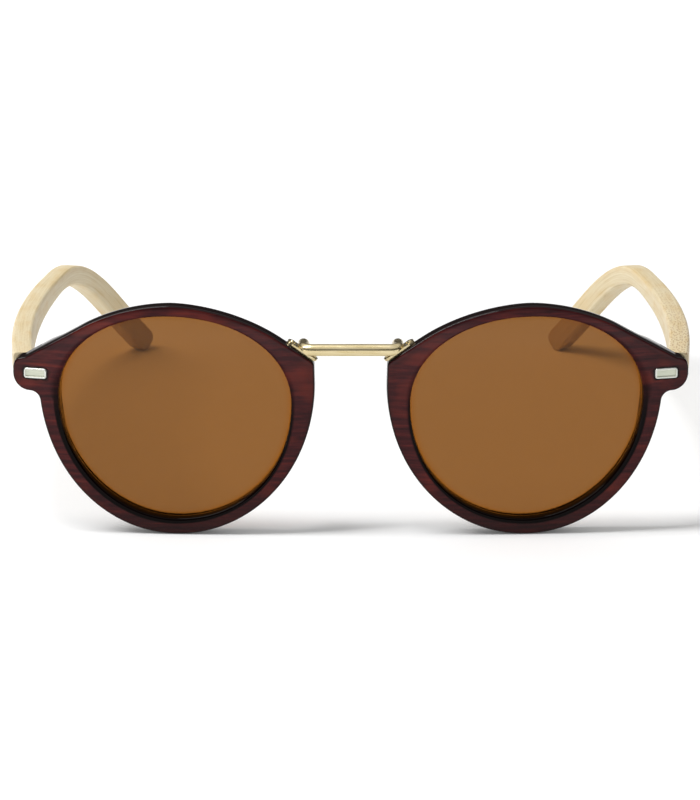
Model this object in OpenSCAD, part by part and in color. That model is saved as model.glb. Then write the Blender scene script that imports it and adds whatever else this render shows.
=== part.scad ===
// Sunglasses with round moulded rims, a gold bridge across the top of the nose
// and bamboo temples. They stand open on the rims and on the tips of the temples.
// X runs from left to right as seen from the front, the front looks towards -Y,
// and Z is up. Lengths are in millimetres and angles in degrees.

/* [Lens shape] */

// distance between the centres of the two lenses
lens_pitch = 75.2; // [70:0.2:84]
// lens opening, from its centre to the side of the temple
lens_half_temple = 24.1; // [21:0.1:28]
// lens opening, from its centre to the side of the nose
lens_half_nose = 24.9; // [22:0.1:27]
// lens opening, from its waist up to its top
lens_up = 18.3; // [15:0.1:21]
// lens opening, from its waist down to its lowest point
lens_down = 25.9; // [22:0.1:30]
// height of the widest line of the opening above the lens centre
lens_waist = 4.7; // [2:0.1:8]
// how far the outline rises towards the temple, in mm for each mm of width
lens_rise = 0.02; // [0:0.005:0.06]
// squareness of the upper corner at the temple, 2 is a true ellipse
square_temple_up = 2.09; // [1.8:0.01:2.6]
// squareness of the upper corner at the nose
square_nose_up = 2.1; // [1.8:0.01:2.6]
// squareness of the lower corner at the nose
square_nose_down = 2.07; // [1.8:0.01:2.6]
// squareness of the lower corner at the temple
square_temple_down = 1.93; // [1.8:0.01:2.6]
// radius of the ball on which the front and both lens faces are curved
base_radius = 180; // [120:5:400]
// angle by which each lens turns back towards its temple
wrap = 3; // [0:0.5:8]
// thickness of a lens
lens_t = 1.6; // [1.2:0.1:2.4]

/* [Rims] */

// height of the widest line of the rim above the lens centre
rim_waist = 8.8; // [3:0.1:11]
// squareness of the rim above its widest line, 2 is a true ellipse
square_rim_up = 1.77; // [1.7:0.01:2.6]
// squareness of the rim below its widest line
square_rim_down = 2.05; // [1.7:0.01:2.6]
// squareness of the lower outline of the rim on the nose side
square_rim_nose = 1.99; // [1.7:0.01:2.6]
// width of the rim above the lens
rim_top = 2.4; // [2.4:0.1:5]
// width of the rim under the lens
rim_bottom = 3.7; // [2.4:0.1:6]
// width of the rim at the temple
rim_side = 4.3; // [2.4:0.1:6]
// width of the rim at the nose
rim_nose = 5; // [3:0.1:7]
// depth of the rim from front to back
rim_depth = 4.3; // [4:0.1:7]
// depth from the front of the rim to the front edge of the lens
lens_set_back = 1.9; // [1.5:0.05:3.5]
// depth of the groove that holds the edge of the lens
groove_depth = 0.7; // [0.4:0.1:1]
// height to which the moulded nose pads stand out behind the rims
pad_rise = 4.2; // [2:0.1:6]
// radius of the rounded corner beside the bridge
nose_corner_r = 1.7; // [1:0.1:4]
// distance of that corner's centre inside the widest line of the rim
nose_corner_in = 1.8; // [0:0.1:4]
// height of that corner above the lens centre
nose_corner_v = 12.3; // [8:0.1:13]

/* [End pieces and plaques] */

// distance from the lens centre to the middle of the rounded end, sideways
end_u = 30.3; // [29:0.1:34]
// height of the rounded end above the lens centre
end_v = 9.8; // [7:0.1:12]
// radius of the rounded end
end_r = 3.6; // [3.2:0.05:4.5]
// radius of the hollow under the end piece
end_fillet_r = 2.2; // [1.5:0.1:5]
// depth from the foremost point of the front back to the butt joint of the temples
butt_y = 8.6; // [8:0.1:12]
// width of the silver plaque
plaque_w = 4.9; // [3.5:0.1:5.5]
// height of the plaque
plaque_h = 2.2; // [1.6:0.1:3]
// thickness of the plaque
plaque_t = 0.8; // [0.6:0.05:1.2]
// height by which the plaque stands proud of the rim
plaque_proud = 0.2; // [0.1:0.05:0.4]
// radius of the two pins behind each plaque
plaque_pin_r = 0.45; // [0.3:0.05:0.6]

/* [Bridge] */

// width of the bridge over its two ends
bridge_w = 22.4; // [18:0.1:26]
// height of the bridge bar
bar_h = 2.4; // [1.8:0.1:3]
// depth of the bridge bar from front to back
bar_d = 2.5; // [1.6:0.1:3]
// height of the bar's middle above the seat of its foot plates
bridge_rise = 0.8; // [0:0.1:4]
// distance from the front of the lenses back to the front of the bar
bridge_back = 0.8; // [0:0.1:3]
// inner radius of the bends between the bar and its legs
bar_bend_r = 0.6; // [0.4:0.1:2]
// length of the legs of the bridge, from its front to their back ends
leg_l = 6.1; // [4:0.1:7]
// length of the foot plates under the legs
foot_l = 7.4; // [6:0.1:9]
// width of the foot plates
foot_w = 2.8; // [2.4:0.1:4]
// thickness of the foot plates
foot_t = 0.6; // [0.4:0.05:1]

/* [Hinges] */

// radius of the hinge knuckles
knuckle_r = 1.3; // [1.1:0.05:1.6]
// height of the three knuckles together
knuckles_h = 6; // [4.8:0.1:7]
// radius of the hinge screw's shank
pivot_r = 0.55; // [0.4:0.05:0.7]
// clearance around the hinge screw
pivot_clear = 0.04; // [0.02:0.01:0.08]
// distance from the temple's inner face to the hinge axis
axis_in = 1.7; // [1.6:0.05:2.4]
// distance from the butt joint back to the hinge axis
axis_back = 1.5; // [1.45:0.05:2.2]
// length of the hinge leaf let into the temple
leaf_l = 12; // [9:0.5:18]
// height of that leaf
leaf_h = 4.4; // [3.4:0.1:5]
// thickness of that leaf
leaf_t = 0.9; // [0.6:0.05:1.2]
// radius of the small screws' shanks
small_screw_r = 0.5; // [0.35:0.05:0.7]

/* [Temples] */

// distance from the lens centre out to the outer face of the temple
temple_out = 33.8; // [32:0.1:37]
// thickness of the temple
temple_t = 4.5; // [3.8:0.1:5.5]
// height of the temple at the hinge
temple_h_hinge = 7.7; // [7:0.1:10]
// height of the temple where the bend starts
temple_h_bend = 4.2; // [3.6:0.1:8]
// height of the temple near its tip
temple_h_tip = 5.6; // [4:0.1:9]
// length of the temple measured along it
temple_l = 148.6; // [130:0.1:155]
// length from the butt joint to the start of the bend
straight_l = 86.6; // [70:0.1:95]
// length over which the temple bends down
bend_l = 49; // [20:1:55]
// slope of the straight part below the horizontal
slope_straight = 3; // [1:0.5:6]
// slope of the ear piece below the horizontal
slope_ear = 43; // [30:1:55]
// angle at which the temple leaves the hinge, outwards
flare = 7.9; // [4:0.1:10]
// radius of the outward bow of the temple seen from above
bow_r = 345; // [250:5:600]
// further turn of the ear piece towards the head
ear_turn = 29; // [10:1:35]

/* [Hidden] */

// small gaps between pieces that sit in each other
seat_gap = 0.03;
butt_gap = 0.1;
knuckle_gap = 0.06;
// room for the edge of the lens in its groove
groove_play = 0.05;

rim_down = lens_down + rim_bottom + rim_waist - lens_waist;
rim_up = lens_up + rim_top - rim_waist + lens_waist;
rim_half_temple = lens_half_temple + rim_side;
rim_half_nose = lens_half_nose + rim_nose;
// The lowest point of the rims stands on the table, at height zero. How far a rounded quarter
// reaches along a slanting line follows from its half sizes with this exponent.
reach_n = square_rim_nose / (square_rim_nose - 1);
lens_z = pow(pow(rim_down, reach_n) + pow(lens_rise * rim_half_nose, reach_n), 1 / reach_n)
    - rim_waist;
lens_x = lens_pitch / 2;

end_z = lens_z + end_v;
temple_x = lens_x + temple_out;
// the top of the temple lies this much lower than the top of the end piece
temple_step = 0;
temple_top = end_z + end_r - temple_step;
hinge_x = temple_x - temple_t - axis_in;
hinge_y = butt_y + axis_back;
hinge_z = temple_top - temple_h_hinge / 2;
knuckle_h = (knuckles_h - 2 * knuckle_gap) / 3;

red_brown = [0.27, 0.12, 0.13];
lens_brown = [0.52, 0.34, 0.19, 0.75];
gold = [0.85, 0.78, 0.55];
silver = [0.84, 0.85, 0.82];
bamboo = [0.9, 0.82, 0.62];
steel = [0.6, 0.6, 0.6];

// Outlines of the lens and of the rim

// distance from the middle to a rounded outline with half sizes a and b
function ray_r(th, a, b, n) = pow(pow(abs(cos(th)) / a, n) + pow(abs(sin(th)) / b, n), -1 / n);

// squareness of the quarter in which the direction th lies
function squareness(th) = sin(th) >= 0 ? (cos(th) >= 0 ? square_temple_up : square_nose_up)
    : (cos(th) >= 0 ? square_temple_down : square_nose_down);

// point of an outline: half sizes to the temple, nose, top and bottom, about the waist line
function outline(th, to_temple, to_nose, up, down, waist, n) =
    let (a = cos(th) >= 0 ? to_temple : to_nose)
    let (b = sin(th) >= 0 ? up : down)
    let (r = ray_r(th, a, b, n))
    [r * cos(th), waist + r * sin(th) + lens_rise * r * cos(th)];

function opening(th) = outline(th, lens_half_temple, lens_half_nose,
    lens_up, lens_down, lens_waist, squareness(th));
function rim_squareness(th) = sin(th) >= 0 ? square_rim_up
    : cos(th) >= 0 ? square_rim_down : square_rim_nose;
function rim_edge(th) = outline(th, rim_half_temple, rim_half_nose,
    rim_up, rim_down, rim_waist, rim_squareness(th));

function unit(v) = v / norm(v);
// outward direction of a curve that runs anticlockwise through a and b
function outward(a, b) = let (t = unit(b - a)) [t.y, -t.x];
function opening_out(th) = outward(opening(th - 0.4), opening(th + 0.4));
function rim_out(th) = outward(rim_edge(th - 0.4), rim_edge(th + 0.4));

end_c = [end_u, end_v];
corner_c = [nose_corner_in - rim_half_nose, nose_corner_v];

// height of a circle above the tangent of the rim at th, zero where the line touches both
function above_tangent(th, c, r) = (c - rim_edge(th)) * rim_out(th) + r;
// direction between lo and hi at which the tangent of the rim touches the circle too
function touch(lo, hi, c, r, n = 24) = let (mid = (lo + hi) / 2)
    n == 0 ? mid
    : above_tangent(lo, c, r) * above_tangent(mid, c, r) <= 0 ? touch(lo, mid, c, r, n - 1)
    : touch(mid, hi, c, r, n - 1);

// the end piece joins the rim along a straight top edge and a hollow below
top_th = touch(10, 85, end_c, end_r);
seat_th = touch(100, 180, corner_c, nose_corner_r);
nose_th = touch(seat_th + 1, 215, corner_c, nose_corner_r);

function hollow_c(th) = rim_edge(th) + end_fillet_r * rim_out(th);
function hollow_miss(th) = norm(hollow_c(th) - end_c) - end_fillet_r - end_r;
function hollow_touch(lo, hi, n = 24) = let (mid = (lo + hi) / 2)
    n == 0 ? mid
    : hollow_miss(mid) > 0 ? hollow_touch(mid, hi, n - 1)
    : hollow_touch(lo, mid, n - 1);
hollow_th = hollow_touch(-40, 10);

function angle_of(v) = atan2(v.y, v.x);
function dir(a) = [cos(a), sin(a)];

// every station of the rim: [point on the outer edge, outward direction there]
function rim_arc(from, to, n) = [for (i = [0 : n]) let (th = from + (to - from) * i / n)
    [rim_edge(th), rim_out(th)]];
function round_corner(c, r, from, to, n) = [for (i = [0 : n])
    let (a = from + (to - from) * i / n) [c + r * dir(a), dir(a)]];
function hollow_arc(n) = let (c = hollow_c(hollow_th))
    let (from = angle_of(-rim_out(hollow_th)) + (angle_of(-rim_out(hollow_th)) < 0 ? 360 : 0))
    let (to = angle_of(end_c - c))
    [for (i = [1 : n - 1]) let (a = from + (to - from) * i / n) [c + end_fillet_r * dir(a), -dir(a)]];
function straight(a, b, n) = [for (i = [1 : n - 1])
    [a[0] + (b[0] - a[0]) * i / n, a[1]]];

top_run = rim_arc(top_th, seat_th, 22);
corner_run = round_corner(corner_c, nose_corner_r, angle_of(rim_out(seat_th)),
    angle_of(rim_out(nose_th)) + (angle_of(rim_out(nose_th)) < 0 ? 360 : 0), 5);
low_run = rim_arc(nose_th, hollow_th + 360, 42);
end_run = round_corner(end_c, end_r, angle_of(hollow_c(hollow_th) - end_c),
    angle_of(rim_out(top_th)), 11);
stations = concat(top_run, straight(top_run[22], corner_run[0], 4), corner_run,
    straight(corner_run[5], low_run[0], 6), low_run, hollow_arc(5), end_run,
    straight(end_run[11], top_run[0], 4));
station_n = len(stations);

// direction of a station seen from a point a little above the waist
function station_th(q) = atan2(q.y - lens_waist - 2, q.x);

// The curved front

// depth of the ball-shaped front behind its foremost point
function sag(q) = base_radius - sqrt(pow(base_radius, 2) - pow(q.x, 2) - pow(q.y, 2));
// smooth step from 0 to 1
function ease(x) = let (c = min(1, max(0, x))) c * c * (3 - 2 * c);
// the end piece is cut flat at the butt joint, so it is made this much deeper than the rim
end_more = butt_y + 2 - sag(end_c) - end_u * sin(wrap) - rim_depth;
function end_extra(q) = end_more * ease((q.x - end_u + 7.8) / 4) * ease((q.y - end_v + 12.6) / 6);
// height of the moulded nose pad behind the rim, highest at pad_v and gone pad_reach away
pad_v = -1.5;
pad_reach = 12.5;
function pad(q) = q.x > 0 ? 0 : pad_rise * ease(1 - abs(q.y - pad_v) / pad_reach);

// rounding of the rim's front edge at the lens, and of its outer edges. The bevel at the lens
// is widest below it, towards the temple, and narrow above it and at the nose.
lip_most = 1.2;
lip_least = 0.35;
lip_d = 0.45;
edge_round = 0.8;
function lip_w(th) = lip_least + (lip_most - lip_least) * pow(0.5 + 0.5 * cos(th - 300), 1.5);

// cross-section of the rim at one station: points with the place in the outline and the depth,
// first down the wall at the lens with its groove, then over the back and up the outer edge
function rim_section(s) =
    let (q = s[0], nq = s[1], th = station_th(s[0]))
    let (p = opening(th), np = opening_out(th))
    let (deep = rim_depth + end_extra(q), high = deep + pad(q))
    let (back_in = min(1.9 * edge_round, 0.5 * norm(q - p)))
    let (lip = [[p + lip_w(th) * np, 0], [p + 0.5 * lip_w(th) * np, 0.27 * lip_d],
        [p + 0.15 * np, lip_d]])
    let (groove = [[p, lens_set_back],
        [p + groove_depth * np, lens_set_back + lens_t / 2 + groove_play],
        [p, lens_set_back + lens_t + 2 * groove_play]])
    let (back = [[p + 0.05 * np, deep - 0.3], [p + 0.35 * np, deep],
        [q - back_in * nq, 0.45 * deep + 0.55 * high],
        [q - edge_round * nq, high - 0.02], [q - 0.25 * edge_round * nq, high - 0.3 * edge_round],
        [q, high - 1.1 * edge_round]])
    let (front = [[q, edge_round], [q - 0.25 * edge_round * nq, 0.3 * edge_round],
        [q - 0.9 * edge_round * nq, 0]])
    [for (w = concat(lip, groove, back, front)) [w[0].x, sag(w[0]) + w[1], w[0].y]];
section_n = 15;

// a closed tube through n rings of m points, with triangles only
module tube(points, n, m) {
    faces = [for (i = [0 : n - 1], j = [0 : m - 1])
        let (a = i * m + j, b = i * m + (j + 1) % m)
        let (c = ((i + 1) % n) * m + (j + 1) % m, d = ((i + 1) % n) * m + j)
        each [[a, b, c], [a, c, d]]];
    polyhedron(points, faces, convexity = 6);
}

// a closed bar through n rings of m points, capped at both ends
module bar(points, n, m) {
    sides = [for (i = [0 : n - 2], j = [0 : m - 1])
        let (a = i * m + j, b = i * m + (j + 1) % m, c = b + m, d = a + m)
        each [[a, c, b], [a, d, c]]];
    caps = [[for (j = [0 : m - 1]) j], [for (j = [m - 1 : -1 : 0]) (n - 1) * m + j]];
    polyhedron(points, concat(sides, caps), convexity = 6);
}

// Places

// the right-hand lens: across towards the temple, back and up
module at_lens() {
    translate([lens_x, front_y, lens_z]) rotate([0, 0, wrap]) children();
}

// on the front face at q, with -Y pointing out of the face
module at_face(q) {
    at_lens() translate([q.x, sag(q), q.y])
        rotate([-asin(q.y / base_radius), 0, asin(q.x / base_radius)]) children();
}

// on the slanting seat of the bridge, with Z pointing out of the rim
seat_low = corner_c + nose_corner_r * rim_out(seat_th);
seat_dir = unit(rim_edge(seat_th) - seat_low);
// the middle of the foot plate's upper face lies under the leg of the bar
leg_x = bridge_w / 2 - bar_d / 2;
seat_u = leg_x - lens_x + (sag(seat_low) + rim_depth / 2) * sin(wrap)
    - (foot_t + seat_gap) * rim_out(seat_th).x;
seat_p = seat_low + seat_dir * (seat_u - seat_low.x) / seat_dir.x;
seat_depth = sag(seat_p) + rim_depth / 2 + 0.2;
module at_seat() {
    at_lens() translate([seat_p.x, seat_depth, seat_p.y])
        rotate([0, 90 - angle_of(rim_out(seat_th)), 0]) children();
}
foot_screw_at = foot_l / 2 - 1.1;

// on the hinge axis, at the middle of the knuckles
module at_hinge() {
    translate([hinge_x, front_y + hinge_y, hinge_z]) children();
}

// on the inner face of the temple beside the hinge, X across and Y along the temple
module at_leaf() {
    translate([temple_x - temple_t, front_y + butt_y, hinge_z])
        rotate([0, 0, -flare + 1]) children();
}

module both_sides(side) {
    if (side > 0) children();
    else mirror([1, 0, 0]) children();
}

// Rims and lenses

// outline of the plaque and of its pocket, seen from the front
module rounded_plate(w, h, r) {
    square([w - 2 * r, h], center = true);
    square([w, h - 2 * r], center = true);
    for (x = [-1, 1], y = [-1, 1])
        translate([x * (w / 2 - r), y * (h / 2 - r)]) circle(r, $fn = 24);
}

plaque_q = [end_u - 1.25, end_v + 0.3];
plaque_pin_l = 1.6;
plaque_pin_at = plaque_w / 2 - 1;
plaque_corner_r = 0.55;
plaque_border = 0.35;
// width and depth of the hinge anchor in the end piece
anchor_w = 2.6;
anchor_d = 2.4;

module rim(side) {
    color(red_brown) both_sides(side) difference() {
        at_lens() tube([for (s = stations) each rim_section(s)], station_n, section_n);
        // flat butt joint behind the end piece
        translate([lens_x + lens_half_temple - 4, front_y + butt_y, lens_z - 12])
            cube([20, 12, 30]);
        // pocket and pin holes of the plaque
        at_face(plaque_q) {
            translate([0, plaque_t - plaque_proud + seat_gap, 0]) rotate([90, 0, 0])
                linear_extrude(2)
                rounded_plate(plaque_w + 2 * seat_gap, plaque_h + 2 * seat_gap,
                    plaque_corner_r + seat_gap);
            for (x = [-1, 1]) translate([x * plaque_pin_at, 0, 0]) rotate([-90, 0, 0])
                cylinder(r = plaque_pin_r + seat_gap, h = plaque_pin_l + 0.1, $fn = 24);
        }
        // pocket of the hinge anchor
        at_hinge() translate([-anchor_w / 2 - seat_gap, -axis_back - anchor_d - seat_gap,
            -knuckles_h / 2 - seat_gap])
            cube([anchor_w + 2 * seat_gap, anchor_d + 1, knuckles_h + 2 * seat_gap]);
        // holes of the two bridge screws
        at_seat() for (x = [-1, 1]) translate([x * foot_screw_at, 0, -2.6])
            cylinder(r = small_screw_r + seat_gap, h = 6, $fn = 24);
    }
}

// edge of a lens, with a V that runs in the groove of the rim. Its two slopes run on past
// the ball-shaped faces, which then cut them off.
lens_steps = 90;
lens_front = lens_set_back + groove_play;
v_depth = groove_depth - 1.6 * groove_play;
v_run_on = 0.6;
lens_edge = [for (k = [0 : 2], i = [0 : lens_steps - 1])
    let (th = 360 * i / lens_steps)
    let (out = k == 1 ? v_depth
        : -groove_play - v_run_on * (v_depth + groove_play) / (lens_t / 2))
    let (q = opening(th) + out * opening_out(th))
    [q.x, sag(q) + lens_front + lens_t / 2 + (k - 1) * (lens_t / 2 + v_run_on), q.y]];

module lens(side) {
    n = lens_steps;
    walls = [for (k = [0 : 1], i = [0 : n - 1])
        let (a = k * n + i, b = k * n + (i + 1) % n)
        each [[a, b, b + n], [a, b + n, a + n]]];
    caps = [for (i = [0 : n - 1])
        each [[(i + 1) % n, i, 3 * n], [2 * n + i, 2 * n + (i + 1) % n, 3 * n + 1]]];
    tips = [[0, lens_set_back - 8, 0], [0, lens_set_back + lens_t + 5, 0]];
    color(lens_brown) both_sides(side) at_lens() difference() {
        intersection() {
            polyhedron(concat(lens_edge, tips), concat(walls, caps), convexity = 4);
            translate([0, base_radius + lens_front, 0])
                sphere(r = base_radius, $fn = 180);
        }
        translate([0, base_radius + lens_front + lens_t, 0])
            sphere(r = base_radius, $fn = 180);
    }
}

// Bridge

bar_z = lens_z + seat_p.y + bridge_rise;
bend_r = bar_d / 2 + bar_bend_r;
bar_half = bridge_w / 2 - bar_d / 2 - bend_r;

// the middle of the bar's underside is ground flat over this length
land_l = 13.4;
land_t = 0.12;

// section of the bar, half round on top
module bar_section() {
    translate([0, bar_h / 2 - bar_d / 2]) intersection() {
        circle(d = bar_d, $fn = 48);
        translate([-bar_d, 0]) square([2 * bar_d, bar_d]);
    }
    translate([-bar_d / 2, land_t - bar_h / 2]) square([bar_d, bar_h - bar_d / 2 - land_t]);
}

module bridge_bar() {
    color(gold) difference() {
        translate([0, front_y + bridge_back + bar_d / 2, bar_z]) union() {
            translate([-bar_half, 0, 0]) rotate([90, 0, 90])
                linear_extrude(2 * bar_half) bar_section();
            translate([-land_l / 2, -bar_d / 2, -bar_h / 2]) cube([land_l, bar_d, bar_h / 2 - 0.1]);
            for (side = [-1, 1]) both_sides(side) {
                translate([bar_half, bend_r, 0]) rotate([0, 0, -90])
                    rotate_extrude(angle = 90, $fn = 48) translate([bend_r, 0]) bar_section();
                translate([bar_half + bend_r, bend_r, 0]) rotate([90, 0, 180])
                    linear_extrude(leg_l - bar_d / 2 - bend_r) bar_section();
                // foot of the leg, down to the foot plate
                translate([bar_half + bend_r - bar_d / 2, bend_r - 0.6, -bar_h / 2 - 3])
                    cube([bar_d, leg_l - bar_d / 2 - bend_r + 0.6, 3.4]);
            }
        }
        for (side = [-1, 1]) both_sides(side) at_seat()
            translate([-10, -10, foot_t + 2 * seat_gap - 10]) cube([20, 20, 10]);
    }
}

module bridge_foot(side) {
    color(gold) both_sides(side) at_seat() difference() {
        translate([0, 0, seat_gap]) linear_extrude(foot_t) {
            square([foot_l - foot_w + 0.6, foot_w], center = true);
            for (x = [-1, 1]) translate([x * (foot_l - foot_w) / 2, 0])
                circle(d = foot_w, $fn = 32);
        }
        for (x = [-1, 1]) translate([x * foot_screw_at, 0, -1])
            cylinder(r = small_screw_r + seat_gap, h = 4, $fn = 24);
    }
}

// a small screw with a slotted round head, its seat at height zero
module small_screw(shank_l, head_r, head_h) {
    difference() {
        union() {
            translate([0, 0, -shank_l]) cylinder(r = small_screw_r, h = shank_l + 0.1, $fn = 24);
            cylinder(r1 = head_r, r2 = head_r * 0.8, h = head_h, $fn = 24);
        }
        translate([-head_r, -0.1, head_h - 0.18]) cube([2 * head_r, 0.2, 1]);
    }
}

module bridge_screws(side) {
    color(gold) both_sides(side) at_seat()
        for (x = [-1, 1]) translate([x * foot_screw_at, 0, foot_t + 2 * seat_gap])
            small_screw(2.6, 0.65, 0.25);
}

// Plaques

module plaque(side) {
    color(silver) both_sides(side) at_face(plaque_q) {
        difference() {
            translate([0, plaque_t - plaque_proud, 0]) rotate([90, 0, 0])
                linear_extrude(plaque_t) rounded_plate(plaque_w, plaque_h, plaque_corner_r);
            translate([0, -plaque_proud + 0.12, 0]) rotate([90, 0, 0])
                linear_extrude(1) rounded_plate(plaque_w - 2 * plaque_border, plaque_h - 2 * plaque_border, 0.2);
        }
        for (x = [-1, 1]) translate([x * plaque_pin_at, 0.3, 0]) rotate([-90, 0, 0])
            cylinder(r = plaque_pin_r, h = plaque_pin_l - 0.3, $fn = 24);
    }
}

// Hinges

// the front half: an anchor in the end piece and the two outer knuckles
module front_hinge(side) {
    color(gold) both_sides(side) at_hinge() difference() {
        union() {
            translate([-anchor_w / 2, -axis_back - anchor_d, -knuckles_h / 2])
                cube([anchor_w, anchor_d, knuckles_h]);
            for (z = [-knuckles_h / 2, knuckles_h / 2 - knuckle_h]) translate([0, 0, z]) {
                cylinder(r = knuckle_r, h = knuckle_h, $fn = 36);
                translate([-knuckle_r, -axis_back, 0]) cube([2 * knuckle_r, axis_back, knuckle_h]);
            }
        }
        cylinder(r = pivot_r + seat_gap, h = knuckles_h + 2, center = true, $fn = 36);
    }
}

// the screw on which the temple turns, with its head above the upper knuckle
module hinge_screw(side) {
    color(steel) both_sides(side) at_hinge() difference() {
        union() {
            translate([0, 0, -knuckles_h / 2]) cylinder(r = pivot_r, h = knuckles_h + 0.2, $fn = 36);
            translate([0, 0, knuckles_h / 2 + seat_gap])
                cylinder(r = knuckle_r - 0.2, h = 0.5, $fn = 36);
        }
        translate([-2, -0.12, knuckles_h / 2 + 0.3]) cube([4, 0.24, 1]);
    }
}

leaf_screw_at = [4.2, 9.6];

// the temple's half: the middle knuckle, an arm and a leaf let into the bamboo
module temple_hinge(side) {
    color(gold) both_sides(side) difference() {
        union() {
            at_hinge() translate([0, 0, -knuckle_h / 2]) {
                cylinder(r = knuckle_r, h = knuckle_h, $fn = 36);
                translate([0, -knuckle_r + 0.15, 0])
                    cube([axis_in + leaf_t - 0.2, 2 * knuckle_r - 0.15, knuckle_h]);
            }
            at_leaf() translate([seat_gap, 0.6, -leaf_h / 2]) cube([leaf_t, leaf_l, leaf_h]);
        }
        at_hinge() cylinder(r = pivot_r + pivot_clear, h = knuckles_h, center = true, $fn = 36);
        at_leaf() for (y = leaf_screw_at) translate([-1, y, 0]) rotate([0, 90, 0])
            cylinder(r = small_screw_r + seat_gap, h = 4, $fn = 24);
    }
}

module temple_screws(side) {
    color(steel) both_sides(side) at_leaf()
        for (y = leaf_screw_at) translate([0, y, 0]) rotate([0, -90, 0])
            small_screw(3, 0.85, 0.3);
}

// Temples

path_n = 98;
step_l = temple_l / path_n;
function down_at(s) = slope_straight + (slope_ear - slope_straight) * ease((s - straight_l) / bend_l);
function out_at(s) = flare - s / bow_r * 180 / PI - ear_turn * ease((s - straight_l) / (1.6 * bend_l));
function heading(s) = [sin(out_at(s)) * cos(down_at(s)), cos(out_at(s)) * cos(down_at(s)),
    -sin(down_at(s))];
// middle line of the temple from the butt joint to the tip, added up step by step
path = [for (i = 0, p = [0, 0, 0]; i <= path_n;
    p = p + step_l * heading((i + 0.5) * step_l), i = i + 1) p];
function scaled(p, k) = [p.x, p.y, p.z * k];
function path_at(s, k) = let (i = min(path_n - 1, floor(s / step_l)), f = s / step_l - i)
    scaled(path[i] * (1 - f) + path[i + 1] * f, k);
function ahead_at(s, k) = unit(scaled(heading(s), k));

function temple_h(s) = s < straight_l
    ? temple_h_hinge + (temple_h_bend - temple_h_hinge) * s / straight_l
    : temple_h_bend + (temple_h_tip - temple_h_bend) * ease((s - straight_l) / 40);
// the tip is rounded off over this length
tip_round = 3.2;
function tip_scale(s) = let (x = max(0, (s - temple_l + tip_round) / tip_round))
    sqrt(max(0, 1 - 0.97 * x * x));
// distance along the temple of each section, the last ones close together
body_n = 42;
tip_n = 7;
sections = concat([for (i = [0 : body_n]) i * (temple_l - tip_round) / body_n],
    [for (i = [1 : tip_n]) temple_l - tip_round + tip_round * sin(90 * i / tip_n)]);

// section of the temple, a rectangle with rounded edges, on a path that drops k times as steeply
edge_r = 0.8;
function temple_section(s, k) =
    let (c = path_at(s, k), ahead = ahead_at(s, k))
    let (across = unit(cross(ahead, [0, 0, 1])), up = cross(across, ahead))
    let (tip = tip_scale(s), half_h = temple_h(s) / 2 * tip)
    let (half_t = temple_t / 2 * (0.4 + 0.6 * tip))
    let (r = min(edge_r * (0.3 + 0.7 * tip), half_h * 0.95))
    [for (corner = [[1, 1], [-1, 1], [-1, -1], [1, -1]], j = [0 : 2])
        let (a = angle_of(corner) - 45 + 45 * j)
        c + across * (corner.x * (half_t - r) + r * cos(a))
          + up * (corner.y * (half_h - r) + r * sin(a))];

// the drop of the path is set so that the tips stand on the same table as the rims
function lowest(k) = min([for (s = sections, w = temple_section(s, k)) w.z]);
function better_drop(k) = k - (lowest(k) + hinge_z) / path[path_n].z;
drop = better_drop(better_drop(better_drop(1)));

// the origin lies under the middle of the whole, from the front to the tips of the temples
foremost = min([for (s = stations, w = rim_section(s)) w.x * sin(wrap) + w.y * cos(wrap)]);
rearmost = butt_y + max([for (s = sections, w = temple_section(s, drop)) w.y]);
front_y = -(min(foremost, bridge_back) + rearmost) / 2;

module temple(side) {
    color(bamboo) both_sides(side) difference() {
        translate([temple_x - temple_t / 2, front_y + butt_y, hinge_z])
            bar(concat([for (p = temple_section(0, drop)) p - 1.2 * heading(0)],
                [for (i = [1 : len(sections) - 1]) each temple_section(sections[i], drop)]),
                len(sections), 12);
        // butt joint against the end piece
        translate([lens_x + 20, front_y + butt_y - 10 + butt_gap, 0]) cube([40, 10, 80]);
        // recess of the hinge leaf, open towards the hinge
        at_leaf() translate([-2, -1, -leaf_h / 2 - seat_gap])
            cube([2 + leaf_t + 2 * seat_gap, leaf_l + 1.6 + seat_gap, leaf_h + 2 * seat_gap]);
        at_leaf() for (y = leaf_screw_at) translate([0, y, 0]) rotate([0, 90, 0])
            cylinder(r = small_screw_r + seat_gap, h = 3.2, $fn = 24);
    }
}

rim(-1);  // rim_left
rim(1);  // rim_right
lens(-1);  // lens_left
lens(1);  // lens_right
bridge_bar();
bridge_foot(-1);  // bridge_foot_left
bridge_foot(1);  // bridge_foot_right
bridge_screws(-1);  // bridge_screws_left
bridge_screws(1);  // bridge_screws_right
plaque(-1);  // plaque_left
plaque(1);  // plaque_right
front_hinge(-1);  // front_hinge_left
front_hinge(1);  // front_hinge_right
hinge_screw(-1);  // hinge_screw_left
hinge_screw(1);  // hinge_screw_right
temple(-1);  // temple_left
temple(1);  // temple_right
temple_hinge(-1);  // temple_hinge_left
temple_hinge(1);  // temple_hinge_right
temple_screws(-1);  // temple_screws_left
temple_screws(1);  // temple_screws_right
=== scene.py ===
# %% [markdown]
# # Round sunglasses with a gold bridge and bamboo temples
#
# The glasses stand open on a white table and are photographed from the front, a little from
# above. This script dresses the imported model, which fixes every size and place. It goes piece by
# piece: first the camera, the table and the light, then the rims, the lenses, the plaques, the
# bridge, the hinges and the temples.
#
# We start by loading the imported model. The finished object must not be bigger than it.

# %% Load the imported model
import math

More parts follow.
